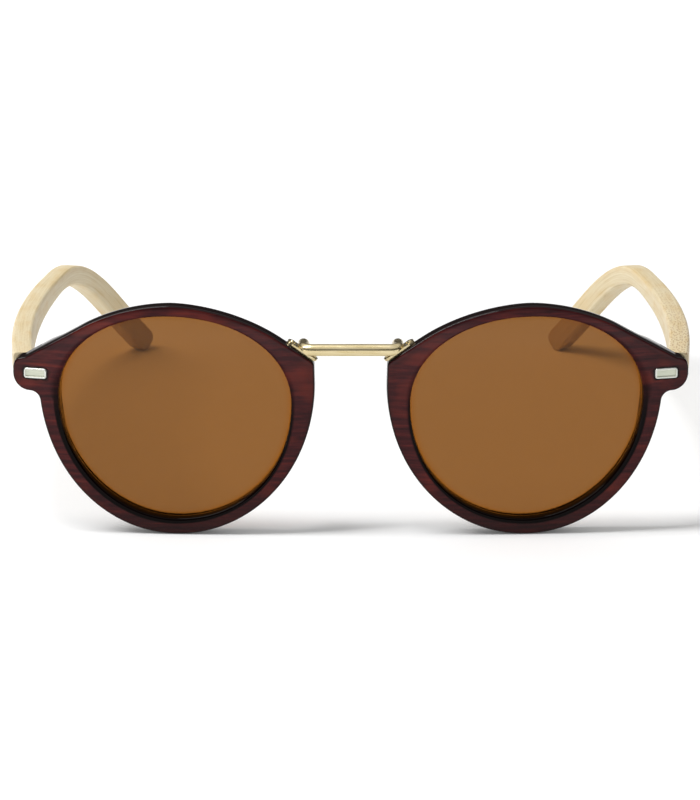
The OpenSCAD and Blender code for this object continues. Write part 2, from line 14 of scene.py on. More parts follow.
import bmesh
import bpy
import numpy as np
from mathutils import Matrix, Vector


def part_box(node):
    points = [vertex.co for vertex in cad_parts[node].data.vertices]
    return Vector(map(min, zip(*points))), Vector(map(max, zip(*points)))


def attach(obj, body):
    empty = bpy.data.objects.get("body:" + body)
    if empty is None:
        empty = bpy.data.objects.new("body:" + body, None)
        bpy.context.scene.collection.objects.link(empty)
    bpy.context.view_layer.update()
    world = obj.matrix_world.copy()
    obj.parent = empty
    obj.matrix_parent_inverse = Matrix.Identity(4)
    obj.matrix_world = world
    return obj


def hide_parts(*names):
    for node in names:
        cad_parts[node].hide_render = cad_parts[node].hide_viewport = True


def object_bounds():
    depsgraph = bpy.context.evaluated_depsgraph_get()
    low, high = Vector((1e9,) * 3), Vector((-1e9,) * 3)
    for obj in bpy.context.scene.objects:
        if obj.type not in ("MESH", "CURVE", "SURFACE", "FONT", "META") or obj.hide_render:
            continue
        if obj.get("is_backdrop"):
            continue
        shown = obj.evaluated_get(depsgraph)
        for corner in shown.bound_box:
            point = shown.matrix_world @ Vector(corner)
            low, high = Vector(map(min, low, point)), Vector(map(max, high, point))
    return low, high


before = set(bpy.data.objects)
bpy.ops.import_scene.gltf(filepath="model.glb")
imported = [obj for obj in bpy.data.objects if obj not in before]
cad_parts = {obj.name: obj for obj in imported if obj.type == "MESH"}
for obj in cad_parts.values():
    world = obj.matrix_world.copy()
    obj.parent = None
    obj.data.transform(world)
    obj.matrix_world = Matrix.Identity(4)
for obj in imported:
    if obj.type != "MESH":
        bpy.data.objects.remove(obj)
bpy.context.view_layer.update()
MM = 0.001

# %% [markdown]
# ## A few small tools
#
# Colours are written the way a paint shop or a web page writes them, as sRGB hex values, but a
# renderer adds up light, so it wants linear values. One function turns one into the other.
#
# Materials are built from nodes. Writing five lines for each node would bury the idea, so one
# function adds a node with its settings, its values and its links.
#
# Shapes are surfaces over two parameters. Numpy works out all points of such a surface at once,
# as one array of rows and columns, and one function turns the array into a mesh.
#
# Three more tools finish a piece. One stores a number with each point of a mesh, one takes cutters
# out of it, and one puts it into the scene and says which body carries it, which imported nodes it
# stands for and which finish it has.

# %% From hex colours to linear light
def linear(hex_colour, alpha=1.0):
    """An sRGB hex colour as linear values: each channel c becomes ((c + 0.055) / 1.055) to the
    power 2.4, or c / 12.92 where it is nearly black."""
    channels = [int(hex_colour[i:i + 2], 16) / 255 for i in (1, 3, 5)]
    return tuple(c / 12.92 if c <= 0.04045 else ((c + 0.055) / 1.055) ** 2.4
                 for c in channels) + (alpha,)


# %% One function that adds a node
def add(tree, kind, settings=None, inputs=None, stops=None):
    """Adds a node. settings are the node's own properties, inputs are values for its sockets or
    output sockets to link to them, and stops are the positions and colours of a colour ramp."""
    node = tree.nodes.new(kind)
    for name, value in (settings or {}).items():
        setattr(node, name, value)
    for name, value in (inputs or {}).items():
        if isinstance(value, bpy.types.NodeSocket):
            tree.links.new(value, node.inputs[name])
        else:
            node.inputs[name].default_value = value
    if stops:
        ramp = node.color_ramp
        while len(ramp.elements) < len(stops):
            ramp.elements.new(0.5)
        for element, (position, colour) in zip(ramp.elements, stops):
            element.position = position
            element.color = colour
    return node


def new_material(name):
    """An empty material and its node tree."""
    material = bpy.data.materials.new(name)
    material.use_nodes = True
    material.node_tree.nodes.clear()
    return material, material.node_tree


# %% From an array of points to a mesh
def grid_mesh(name, points, wrap_rows=False, wrap_columns=True, caps=False, uv=None):
    """Mesh of a grid of points, rows by columns, in mm. Neighbouring points make quads. Rows or
    columns may close up on themselves, and caps shut the first and the last row with a fan of
    triangles round its middle. The faces are turned so that the volume comes out positive, which
    makes them point outwards. uv has a row and a column more where the grid wraps."""
    rows, columns = points.shape[:2]
    row, column = np.meshgrid(np.arange(rows if wrap_rows else rows - 1),
                              np.arange(columns if wrap_columns else columns - 1), indexing="ij")
    corners = [(row, column), (row, column + 1), (row + 1, column + 1), (row + 1, column)]
    index = lambda r, c: (r % rows) * columns + c % columns
    quads = np.stack([index(r, c) for r, c in corners], -1).reshape(-1, 4)
    vertices = points.reshape(-1, 3)
    triangles = np.zeros((0, 3), int)
    if caps:
        vertices = np.vstack([vertices, points[0].mean(0), points[-1].mean(0)])
        j = np.arange(columns)
        k = (j + 1) % columns
        last = (rows - 1) * columns
        first_fan = np.stack([k, j, np.full(columns, rows * columns)], -1)
        last_fan = np.stack([last + j, last + k, np.full(columns, rows * columns + 1)], -1)
        triangles = np.vstack([first_fan, last_fan])
    split = np.vstack([quads[:, [0, 1, 2]], quads[:, [0, 2, 3]], triangles])
    a, b, c = (vertices[split[:, i]] for i in range(3))
    turned = (a * np.cross(b, c)).sum() < 0
    if turned:
        quads, triangles = quads[:, ::-1], triangles[:, ::-1]
    mesh = bpy.data.meshes.new(name)
    mesh.from_pydata((vertices * MM).tolist(), [], quads.tolist() + triangles.tolist())
    if uv is not None:
        layer = mesh.uv_layers.new(name="along_and_round")
        flat = np.stack([uv[r, c] for r, c in corners], -2).reshape(-1, 4, 2)
        if turned:
            flat = flat[:, ::-1]
        values = np.zeros((len(mesh.loops), 2))
        values[:flat.shape[0] * 4] = flat.reshape(-1, 2)
        layer.data.foreach_set("uv", values.ravel())
    return mesh


# %% Marking, cutting and dressing a piece
def mark(mesh, name, values):
    """Stores one number with each point of a mesh, for a material to read."""
    layer = mesh.attributes.new(name, "FLOAT", "POINT")
    layer.data.foreach_set("value", np.asarray(values, float).ravel())
    return mesh


def dress(name, mesh, material, body, nodes=(), sharp=35):
    """Puts a mesh into the scene as a piece that rides on a body, stands for CAD nodes and takes
    its finish from a slot. Edges bent by more than sharp degrees stay sharp in the shading."""
    mesh.shade_smooth()
    mesh.set_sharp_from_angle(angle=math.radians(sharp))
    piece = bpy.data.objects.new(name, mesh)
    bpy.context.scene.collection.objects.link(piece)
    mesh.materials.append(material)
    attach(piece, body)
    if nodes:
        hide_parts(*nodes)
    return piece


def cut(mesh, *cutters):
    """Takes closed cutter meshes out of a closed mesh, as a milling cutter would."""
    body = bpy.data.objects.new("blank", mesh)
    bpy.context.scene.collection.objects.link(body)
    helpers = []
    for cutter in cutters:
        helper = bpy.data.objects.new("cutter", cutter)
        bpy.context.scene.collection.objects.link(helper)
        helpers.append(helper)
        modifier = body.modifiers.new("cut", "BOOLEAN")
        modifier.operation, modifier.solver, modifier.object = "DIFFERENCE", "EXACT", helper
    bpy.context.view_layer.update()
    seen = body.evaluated_get(bpy.context.evaluated_depsgraph_get())
    result = bpy.data.meshes.new_from_object(seen)
    for thing in [body] + helpers:
        old = thing.data
        bpy.data.objects.remove(thing)
        bpy.data.meshes.remove(old)
    return result


# %% [markdown]
# ## The camera
#
# The glasses fill the width of the picture, and the temples shrink only a little towards their
# tips, so the camera stands well back with a long lens. The tips and the bottoms of the rims
# touch the same table, and the height between them in the picture gives how far above the
# camera stands. Together they place it 0.7 m in front and 0.25 m up, looking down 17 degrees.
#
# The sizes of the camera and of every shape are written in mm. Only the table, the lamp and the
# patterns of the materials keep Blender's metres. The front's own sizes come first: how far the
# butt joint of the temples lies behind the foremost point of the front and how wide it gapes, how
# far a lens centre lies from the middle, the angle by which each lens turns back, and the radius of
# the ball on which the front is curved.

# %% Camera
SIZE = {"butt": 8.6, "butt_gap": 0.1, "lens_x": 37.6, "wrap": math.radians(3), "ball": 180.0}
SIZE["front"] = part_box("temple_right")[0].y / MM - SIZE["butt_gap"] - SIZE["butt"]
CAMERA = {"aside": -0.16, "back": 700, "up": 246, "aim_behind": 20, "aim_up": 24.235,
          "focal": 157.07, "sensor": 36}
camera_data = bpy.data.cameras.new("camera")
camera_data.lens = CAMERA["focal"]
camera_data.sensor_width = CAMERA["sensor"]
camera_data.clip_end = 10
camera = bpy.data.objects.new("camera", camera_data)
bpy.context.scene.collection.objects.link(camera)
bpy.context.scene.camera = camera
eye = np.array([CAMERA["aside"], SIZE["front"] - CAMERA["back"], CAMERA["up"]]) * MM
aim = np.array([CAMERA["aside"], SIZE["front"] + CAMERA["aim_behind"], CAMERA["aim_up"]]) * MM
camera.location = eye
look = aim - eye
camera.rotation_euler = (math.acos(-look[2] / np.linalg.norm(look)), 0, 0)
print("camera looks down", round(math.degrees(math.atan2(-look[2], look[1])), 1), "degrees")

# %% [markdown]
# ## The table and the light
#
# The photograph was taken on a white sweep, and only the soft shadows show that there is a
# table. The table's own colour is a plain white that spreads light like paper. A camera ray also
# gets a little extra light from it, and more of it with the distance from the glasses: 7 per cent
# of full white up to 13 cm from the middle, rising evenly to all of it at 60 cm. So the table comes
# out as clean white wherever nothing shades it. A ray that a lens lets through or a polished
# surface mirrors gets that light too. Matt surfaces are lit by the lamp and the sky alone.
#
# One tall soft lamp leans over the glasses from the left, hardly in front of them. It is narrow
# from front to back, so the shadows of the rims run to the right as thin bands, and long from low
# to high, so the shadows of the temples, which stand well above the table, all but dissolve. The
# sky lights matt surfaces evenly, but only about half as strongly from the camera's side. What
# polished surfaces mirror is another matter: they see the white table up to the horizon, then the
# dim room round the table, and bright panels higher up, which begin at about 25 degrees and are
# full at 40. The dim band is what keeps the polished rims dark and draws the dark line along the
# metal bar.

# %% Table
def seen_by(tree, *kinds):
    """One for a ray of any of the named kinds, and zero for all others."""
    path = add(tree, "ShaderNodeLightPath")
    total = path.outputs[kinds[0]]
    for kind in kinds[1:]:
        total = add(tree, "ShaderNodeMath", {"operation": "ADD", "use_clamp": True},
                    {0: total, 1: path.outputs[kind]}).outputs[0]
    return total


table_material, tree = new_material("white_table")
paper = add(tree, "ShaderNodeBsdfDiffuse", inputs={"Color": (0.86, 0.86, 0.86, 1)})
from_middle = add(tree, "ShaderNodeVectorMath", {"operation": "LENGTH"}, {
    0: add(tree, "ShaderNodeTexCoord").outputs["Object"]})
sweep = add(tree, "ShaderNodeMapRange", inputs={
    "Value": from_middle.outputs["Value"], "From Min": 0.13, "From Max": 0.6,
    "To Min": 0.07, "To Max": 1.0})
lift = add(tree, "ShaderNodeEmission", inputs={
    "Color": (1, 1, 1, 1),
    "Strength": add(tree, "ShaderNodeMath", {"operation": "MULTIPLY"},
                    {0: seen_by(tree, "Is Camera Ray", "Is Transmission Ray", "Is Glossy Ray"),
                     1: sweep.outputs[0]}).outputs[0]})
both = add(tree, "ShaderNodeAddShader", inputs={0: paper.outputs[0], 1: lift.outputs[0]})
add(tree, "ShaderNodeOutputMaterial", inputs={"Surface": both.outputs[0]})
# the edges of the table lie at least 1.5 m away, outside the picture
table_mesh = bpy.data.meshes.new("table")
table_mesh.from_pydata([(-3, -1.5, 0), (3, -1.5, 0), (3, 5, 0), (-3, 5, 0)], [], [(0, 1, 2, 3)])
table_mesh.materials.append(table_material)
table = bpy.data.objects.new("table", table_mesh)
bpy.context.scene.collection.objects.link(table)
table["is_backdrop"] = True

# %% Lamp and sky
def soft_lamp(name, place, target, width, height, power):
    """A rectangular lamp at place, turned so that its face looks at target. Its width lies level
    and its height leans with the tilt."""
    data = bpy.data.lights.new(name, "AREA")
    data.shape, data.size, data.size_y, data.energy = "RECTANGLE", width, height, power
    lamp = bpy.data.objects.new(name, data)
    bpy.context.scene.collection.objects.link(lamp)
    away = np.array(place) - np.array(target)
    flat = math.hypot(away[0], away[1])
    lamp.location = place
    lamp.rotation_euler = (math.atan2(flat, away[2]), 0, math.atan2(away[0], -away[1]))
    return lamp


soft_lamp("key", place=(-0.64, -0.17, 1.12), target=(0, -0.05, 0), width=0.3, height=1.0,
          power=16.2)
world = bpy.data.worlds.new("light_tent")
bpy.context.scene.world = world
world.use_nodes = True
tree = world.node_tree
tree.nodes.clear()
towards = add(tree, "ShaderNodeSeparateXYZ", inputs={
    0: add(tree, "ShaderNodeTexCoord").outputs["Generated"]})
open_side = add(tree, "ShaderNodeMapRange", inputs={
    "Value": towards.outputs["Y"], "From Min": -0.75, "From Max": 0.1,
    "To Min": 0.30, "To Max": 0.55})
dark_room = add(tree, "ShaderNodeValToRGB", inputs={"Fac": towards.outputs["Z"]}, stops=[
    (0.02, (0.9, 0.9, 0.9, 1)), (0.06, (0.05, 0.05, 0.05, 1)), (0.42, (0.05, 0.05, 0.05, 1)),
    (0.65, (0.95, 0.95, 0.95, 1))])
mirrored = add(tree, "ShaderNodeMix", {"data_type": "FLOAT"}, {
    "Factor": seen_by(tree, "Is Glossy Ray"), "A": open_side.outputs[0],
    "B": dark_room.outputs[0]})
strength = add(tree, "ShaderNodeMix", {"data_type": "FLOAT"}, {
    "Factor": seen_by(tree, "Is Camera Ray", "Is Transmission Ray"), "A": mirrored.outputs[0],
    "B": 1.0})
sky = add(tree, "ShaderNodeBackground", inputs={
    "Color": (1, 1, 1, 1), "Strength": strength.outputs[0]})
add(tree, "ShaderNodeOutputWorld", inputs={"Surface": sky.outputs[0]})
bpy.context.scene.view_settings.view_transform = "Standard"

# %% [markdown]
# ## The outline of the front
#
# Optical shapes like this one are drawn as four quarters of an ellipse that meet at the widest
# line, each with its own width, height and squareness. The lens opening is one such outline, and
# the outer edge of the rim is another, joined to a rounded end for the hinge and to a small
# rounded corner beside the bridge. We need the outline as a dense run of points, evenly spaced,
# with the outward direction at each one.
#
# Each outline has half widths to the temple and to the nose, half heights up and down from its
# widest line, the height of that line above the lens centre, and the squareness of its quarters:
# up at the temple, up at the nose, down at the nose and down at the temple. With a squareness of
# 2 a quarter is a true ellipse. The whole outline rises towards the temple by 2 mm in 100.
#
# The lowest point of the rims touches the table, and that fixes the height of the lens centres. It
# is the point where the sloping quarter down at the nose is level. With d for the quarter's height
# down, w for its width, r for the rise and n for its squareness, that point lies the m-th root of
# d to the power m plus r w to the power m below the widest line, and m is n / (n - 1).

# %% Quarters of an ellipse
RISE = 0.02
OPENING = {"temple": 24.1, "nose": 24.9, "up": 18.3, "down": 25.9, "waist": 4.7,
           "square": (2.09, 2.10, 2.07, 1.93)}
EDGE = {"temple": 28.4, "nose": 29.9, "up": 16.6, "down": 33.7, "waist": 8.8,
        "square": (1.77, 1.77, 1.99, 2.05)}
POWER = EDGE["square"][2] / (EDGE["square"][2] - 1)
LENS_Z = (EDGE["down"] ** POWER + (RISE * EDGE["nose"]) ** POWER) ** (1 / POWER) - EDGE["waist"]


def quarters(angle, sizes):
    """Points of an outline at angles in degrees. In each quarter |x / a| to the power n plus
    |z / b| to the power n is one, and then z rises by RISE times x."""
    c, s = np.cos(np.radians(angle)), np.sin(np.radians(angle))
    a = np.where(c >= 0, sizes["temple"], sizes["nose"])
    b = np.where(s >= 0, sizes["up"], sizes["down"])
    quarter = np.where(s >= 0, np.where(c >= 0, 0, 1), np.where(c >= 0, 3, 2))
    n = np.array(sizes["square"])[quarter]
    r = ((np.abs(c) / a) ** n + (np.abs(s) / b) ** n) ** (-1 / n)
    return np.stack([r * c, sizes["waist"] + r * s + RISE * r * c], -1)


def outward(points):
    """Outward unit vectors of a closed run of points that goes anticlockwise: the chord between
    the two neighbours of a point, turned by a right angle."""
    chord = np.roll(points, -1, 0) - np.roll(points, 1, 0)
    chord /= np.linalg.norm(chord, axis=1, keepdims=True)
    return np.stack([chord[:, 1], -chord[:, 0]], -1)


def evenly(points, count):
    """A closed run of points drawn anew with count points at equal distances along it."""
    ring = np.vstack([points, points[:1]])
    along = np.concatenate([[0], np.cumsum(np.linalg.norm(np.diff(ring, axis=0), axis=1))])
    places = np.arange(count) * along[-1] / count
    return np.stack([np.interp(places, along, ring[:, i]) for i in (0, 1)], -1)


fine_angles = np.arange(3600) / 10
fine_edge = quarters(fine_angles, EDGE)
fine_out = outward(fine_edge)
print("lens centre stands", round(LENS_Z, 2), "mm above the table")

# %% [markdown]
# Places on the front are measured across and up from a lens centre. The rounded end is a circle
# about a point on the side of the temple, and the nose corner a smaller one on the other side. A
# straight edge runs from each to the rim, where the rim's tangent touches the circle too. Under the
# end piece a hollow of another radius touches both the rim and the end. The places where they touch
# are found by watching where a distance changes its sign. Above, the end piece is a little squarer
# than a circle, up to 72 degrees, where its straight top edge begins.

# %% Rounded end and nose corner
END = np.array([30.3, 9.8])
END_R = 3.6
HOLLOW_R = 2.2
CORNER = np.array([-28.1, 12.3])
CORNER_R = 1.7
ROUND_STATIONS = 560


def first_angle(low, high, miss):
    """The angle between low and high at which miss, worked out for all fine angles, changes its
    sign."""
    inside = (fine_angles >= low) & (fine_angles <= high)
    at = np.flatnonzero(inside[:-1] & inside[1:] & (np.diff(np.sign(miss)) != 0))[0]
    return fine_angles[at] + 0.1 * miss[at] / (miss[at] - miss[at + 1])


def over_line(centre, radius):
    """Height of a circle's far side above the tangent of the rim, for all fine angles."""
    return ((centre - fine_edge) * fine_out).sum(1) + radius


def bow(centre, radius, start, stop, count=60):
    """Points of an arc from one angle to another."""
    a = np.radians(np.linspace(start, stop, count))
    return centre + radius * np.stack([np.cos(a), np.sin(a)], -1)


def squarer(centre, radius, start, stop, n=3.4, count=40):
    """Points of a corner that is squarer than an arc: |x| to the power n plus |z| to the power n
    is the radius to the power n."""
    a = np.radians(np.linspace(start, stop, count))
    c, s = np.cos(a), np.sin(a)
    r = radius * (np.abs(c) ** n + np.abs(s) ** n) ** (-1 / n)
    return centre + r[:, None] * np.stack([c, s], -1)


def direction(vector):
    """Angle of a vector, in degrees from 0 to 360."""
    return math.degrees(math.atan2(vector[1], vector[0])) % 360


def edge_out(angle):
    """Outward direction of the rim's edge at one angle, in degrees."""
    at = int(round(angle * 10)) % 3600
    return direction(fine_out[at])


top_angle = first_angle(10, 85, over_line(END, END_R))
seat_angle = first_angle(100, 179, over_line(CORNER, CORNER_R))
nose_angle = first_angle(seat_angle + 2, 215, over_line(CORNER, CORNER_R))
hollow_miss = np.linalg.norm(fine_edge + HOLLOW_R * fine_out - END, axis=1) - HOLLOW_R - END_R
hollow_angle = first_angle(320, 359.8, hollow_miss)
hollow_at = int(round(hollow_angle * 10)) % 3600
hollow_centre = fine_edge[hollow_at] + HOLLOW_R * fine_out[hollow_at]
rim_outline = evenly(np.vstack([
    quarters(np.arange(top_angle, seat_angle, 0.5), EDGE),
    bow(CORNER, CORNER_R, edge_out(seat_angle), edge_out(nose_angle)),
    quarters(np.arange(nose_angle, hollow_angle, 0.5), EDGE),
    bow(hollow_centre, HOLLOW_R, direction(-fine_out[hollow_at]),
        direction(END - hollow_centre)),
    bow(END, END_R, direction(hollow_centre - END) - 360, 0),
    squarer(END, END_R, 2, 72),
]), ROUND_STATIONS)
print("rim leaves its ellipse at", [round(v, 1) for v in
      (top_angle, seat_angle, nose_angle, hollow_angle)], "degrees")

# %% [markdown]
# ## The rims
#
# Each rim is moulded in a dark red-brown plastic and tumbled until it shines. Its front is
# nearly flat, its edges are rounded, the lens sits in a V groove of the inner wall, and the nose
# side grows thicker behind the front to make the nose pad. The whole front is curved like a piece
# of a ball, so that it wraps round the face.
#
# One way to make it would be to extrude the outline and bevel it. But the section changes on the
# way round, so we carry a profile along the outline and let it change: every column of the grid
# is one line of the profile, and every row is one station on the outline.

# %% The ball-shaped front
def ball(x, z):
    """Depth of a ball-shaped front behind its foremost point: R minus the height of the ball."""
    return SIZE["ball"] - np.sqrt(SIZE["ball"] ** 2 - x ** 2 - z ** 2)


def ease(x):
    """Smooth step from 0 to 1: 3 t squared minus 2 t cubed."""
    t = np.clip(x, 0, 1)
    return t * t * (3 - 2 * t)


def place_front(across, depth, up, side):
    """From the flat drawing of one lens to the object: turned by the wrap angle, moved to its
    side and to its height. Mirrored for the left side."""
    c, s = math.cos(SIZE["wrap"]), math.sin(SIZE["wrap"])
    x = SIZE["lens_x"] + across * c - depth * s
    y = SIZE["front"] + across * s + depth * c
    return np.stack([side * x, y, LENS_Z + up], -1)


# %% [markdown]
# These are the sizes of the section: the depth of the rim, how far the nose pad stands out behind
# it, the distance from the front back to the lens, the depth of its groove and the thickness of the
# lens. The front edges are rounded by about half a millimetre and the back edge more. The end
# piece is deeper than the rim: it is moulded 2 mm too deep and sawn off at the butt joint.

# %% A section carried round the outline
RIM_DEPTH = 4.3
PAD = 4.2
LENS_BACK = 1.9
GROOVE = 0.7
LENS_T = 1.6
EDGE_ROUND = 0.45
BACK_ROUND = 1.9
END_MORE = SIZE["butt"] + 2 - ball(*END) - END[0] * math.sin(SIZE["wrap"]) - RIM_DEPTH


def opening_out(angle):
    """Outward unit vectors of the lens opening: the chord over 0.4 degrees, turned by a right
    angle."""
    chord = quarters(angle + 0.2, OPENING) - quarters(angle - 0.2, OPENING)
    return np.stack([chord[:, 1], -chord[:, 0]], -1) / np.linalg.norm(chord, axis=1, keepdims=True)


def quarter_turn(count):
    """Cosine and sine at evenly spaced angles from 0 to 90 degrees."""
    return [(math.cos(a), math.sin(a)) for a in map(math.radians, np.linspace(0, 90, count))]


def rim_surface(side):
    """Points of a rim, and two numbers for each point: how much of the streaked face colour covers
    it, the rest being painted near-black shade, and whether it belongs to the inner wall. At each
    station the profile runs down the inner wall, over the back and up the outer wall to the front.
    Each profile point is the inner edge p or the outer edge q, moved along its outward direction,
    with a depth."""
    q = rim_outline
    q_out = outward(q)
    # p lies at the angle at which q is seen from 2 mm above the centre of the opening's quarters
    angle = np.degrees(np.arctan2(q[:, 1] - OPENING["waist"] - 2, q[:, 0]))
    p = quarters(angle, OPENING)
    p_out = opening_out(angle)
    # the end piece is deeper than the rim, and the nose pad swells on the other side
    deep = RIM_DEPTH + END_MORE * ease((q[:, 0] - 22.5) / 4) * ease((q[:, 1] + 3) / 6)
    pad = np.where(q[:, 0] > 0, 0, PAD * ease(1 - np.abs(q[:, 1] + 1.5) / 12.5))
    high = deep + pad
    # the rounded edge at the lens is widest below and towards the temple
    lip = (0.35 + 0.85 * (0.5 + 0.5 * np.cos(np.radians(angle - 300))) ** 1.5)[:, None]
    inner = [(p + (lip + (0.12 - lip) * s) * p_out, EDGE_ROUND * (1 - c))
             for c, s in quarter_turn(7)]
    lip_columns = len(inner)
    # down the wall to the lens, into its groove and out again
    inner += [(p + 0.06 * p_out, 1.2), (p, LENS_BACK), (p + GROOVE * p_out, LENS_BACK + LENS_T / 2),
              (p, LENS_BACK + LENS_T + 0.1)]
    wall_columns = len(inner)
    # the edge at the back is broken by a third of a millimetre, and the back rises to the pad
    inner += [(p + 0.02 * p_out, deep - 0.35), (p + 0.1 * p_out, deep - 0.13),
              (p + 0.35 * p_out, deep)]
    back_in = np.minimum(1.5, 0.5 * np.linalg.norm(q - p, axis=1))[:, None]
    back = [(p + 0.35 * p_out + (q - back_in * q_out - p - 0.35 * p_out) * f,
             deep + 0.55 * (high - deep) * ease(f)) for f in (0.33, 0.67, 1.0)]
    # round the back edge, up the outer wall and round the front edge
    outer = [(q - 0.85 * back_in * (1 - s) * q_out, high - BACK_ROUND * (1 - c))
             for c, s in quarter_turn(7)]
    outer += [(q, 0.3 * high + 0.4), (q, 0.5)]
    outer += [(q - EDGE_ROUND * (1 - c) * q_out, 0.5 * (1 - s)) for c, s in quarter_turn(8)]
    start, stop = q - EDGE_ROUND * q_out, p + lip * p_out
    face = [(start + (stop - start) * f, 0) for f in (0.15, 0.38, 0.62, 0.85)]
    profile = inner + back + outer + face
    # the streaked face colour covers the face and fades over the rounded outer edge into a painted
    # near-black shade, which stands for the dark that the edges mirror; in the upper half the face
    # colour is thinner beside that edge and reaches over the edge at the lens
    upper = ease((np.sin(np.radians(angle)) + 0.2) / 0.6)
    # painted shade: where this share is below one, the rim is painted near-black instead of its
    # face colour
    face_vs_painted_dark = np.zeros((len(q), len(profile)))
    face_vs_painted_dark[:, -len(face):] = 1
    face_vs_painted_dark[:, -len(face) - 4:-len(face)] = (0.15, 0.35, 0.6, 0.8)
    face_vs_painted_dark[:, -len(face)] = 1 - 0.3 * upper
    face_vs_painted_dark[:, :lip_columns] = 0.8 * upper[:, None]
    wall = np.zeros_like(face_vs_painted_dark)
    wall[:, :wall_columns] = 1
    flat = np.stack([place for place, _ in profile], 1)
    depth = np.stack([np.broadcast_to(d, deep.shape) for _, d in profile], 1)
    depth = depth + ball(flat[..., 0], flat[..., 1])
    return place_front(flat[..., 0], depth, flat[..., 1], side), face_vs_painted_dark, wall


# Points nearer than this are one point.
SAME = 0.002 * MM


def cleaned(mesh):
    """The mesh with doubled points merged and faces without area dropped."""
    work = bmesh.new()
    work.from_mesh(mesh)
    bmesh.ops.remove_doubles(work, verts=work.verts, dist=SAME)
    bmesh.ops.dissolve_degenerate(work, edges=work.edges, dist=SAME / 2)
    bmesh.ops.recalc_face_normals(work, faces=work.faces)
    work.to_mesh(mesh)
    work.free()
    return mesh


def moulded(side):
    """The rim as a mesh whose points remember how much of the streaked face colour covers them, the
    rest being painted near-black shade, and whether they belong to the inner wall."""
    points, face_vs_painted_dark, wall = rim_surface(side)
    blank = mark(grid_mesh("rim", points, wrap_rows=True), "face_vs_painted_dark", face_vs_painted_dark)
    return cleaned(mark(blank, "inner_wall", wall))


rim_meshes = {side: moulded(side) for side in (-1, 1)}
print("rim faces:", len(rim_meshes[1].polygons))

# %% [markdown]
# The plastic is a moulded polycarbonate, dark red-brown, with darker and redder streaks that run
# level across the front like the grain of dark wood. The streaks come from a noise pattern pulled
# long in X and squeezed in Z: about 12 mm long and 1 mm high. A second noise, with patches about
# 13 mm long and 6 mm high, makes some places redder, and over the lowest 13 mm a painted shade
# grows darker downwards, towards the table.
#
# The streaked colour covers only the face. The rounded edges, the walls and the back are painted
# near-black, a painted shade for the dark that they mirror, so the face has a soft dark outline,
# and the inner wall round the lens is painted darkest of all.
#
# The polish gives sharp reflections. Bare polycarbonate would mirror about 4 per cent of the light
# that meets it head on. Here it is about a quarter of that, and half of that again on the inner
# wall, because in the photograph hardly anything bright stands where the front could mirror it.

# %% Rim plastic
rim_material, tree = new_material("polished_red_brown_polycarbonate")
where = add(tree, "ShaderNodeTexCoord").outputs["Object"]
pulled = add(tree, "ShaderNodeMapping", inputs={
    "Vector": where, "Scale": (1 / 0.012, 1 / 0.012, 1 / 0.0011)})
streaks = add(tree, "ShaderNodeTexNoise", inputs={
    "Vector": pulled.outputs[0], "Scale": 1.0, "Detail": 5.0, "Roughness": 0.6})
patches = add(tree, "ShaderNodeTexNoise", inputs={
    "Vector": add(tree, "ShaderNodeMapping", inputs={
        "Vector": where, "Location": (3.1, 0.4, 1.7),
        "Scale": (1 / 0.013, 1 / 0.013, 1 / 0.006)}).outputs[0],
    "Scale": 1.0, "Detail": 2.0, "Roughness": 0.5})
fine_tone = add(tree, "ShaderNodeValToRGB", inputs={"Fac": streaks.outputs["Fac"]}, stops=[
    (0.30, linear("#2b1214")), (0.48, linear("#40171a")), (0.60, linear("#521e1e")),
    (0.75, linear("#6c2721"))])
red_share = add(tree, "ShaderNodeMapRange", inputs={
    "Value": patches.outputs["Fac"], "From Min": 0.52, "From Max": 0.72, "To Max": 0.75})
tone = add(tree, "ShaderNodeMix", {"data_type": "RGBA", "blend_type": "MIX"}, {
    "Factor": red_share.outputs[0], "A": fine_tone.outputs[0], "B": linear("#762c21")})
# painted shade: the lowest 13 mm of the face darken towards the table
painted_low_shade = add(tree, "ShaderNodeMapRange", inputs={
    "Value": add(tree, "ShaderNodeSeparateXYZ", inputs={0: where}).outputs["Z"],
    "From Min": 0.013, "From Max": 0.001, "To Max": 0.6})
shaded = add(tree, "ShaderNodeMix", {"data_type": "RGBA", "blend_type": "MIX"}, {
    "Factor": painted_low_shade.outputs[0], "A": tone.outputs["Result"], "B": linear("#1b0d0c")})
# painted shade: edges, walls and back are painted near-black in place of the face colour, the inner
# wall darkest
face_vs_painted_dark = add(tree, "ShaderNodeAttribute", {"attribute_name": "face_vs_painted_dark"})
on_wall = add(tree, "ShaderNodeAttribute", {"attribute_name": "inner_wall"})
painted_dark_edges_and_walls = add(tree, "ShaderNodeMix", {"data_type": "RGBA", "blend_type": "MIX"}, {
    "Factor": on_wall.outputs["Fac"], "A": linear("#150a0a"), "B": linear("#060101")})
sheen = add(tree, "ShaderNodeMapRange", inputs={
    "Value": on_wall.outputs["Fac"], "To Min": 0.13, "To Max": 0.07})
face_over_painted_dark = add(tree, "ShaderNodeMix", {"data_type": "RGBA", "blend_type": "MIX"}, {
    "Factor": face_vs_painted_dark.outputs["Fac"], "A": painted_dark_edges_and_walls.outputs["Result"], "B": shaded.outputs["Result"]})
plastic = add(tree, "ShaderNodeBsdfPrincipled", inputs={
    "Base Color": face_over_painted_dark.outputs["Result"], "Roughness": 0.06, "IOR": 1.5,
    "Specular IOR Level": sheen.outputs[0]})
add(tree, "ShaderNodeOutputMaterial", inputs={"Surface": plastic.outputs[0]})

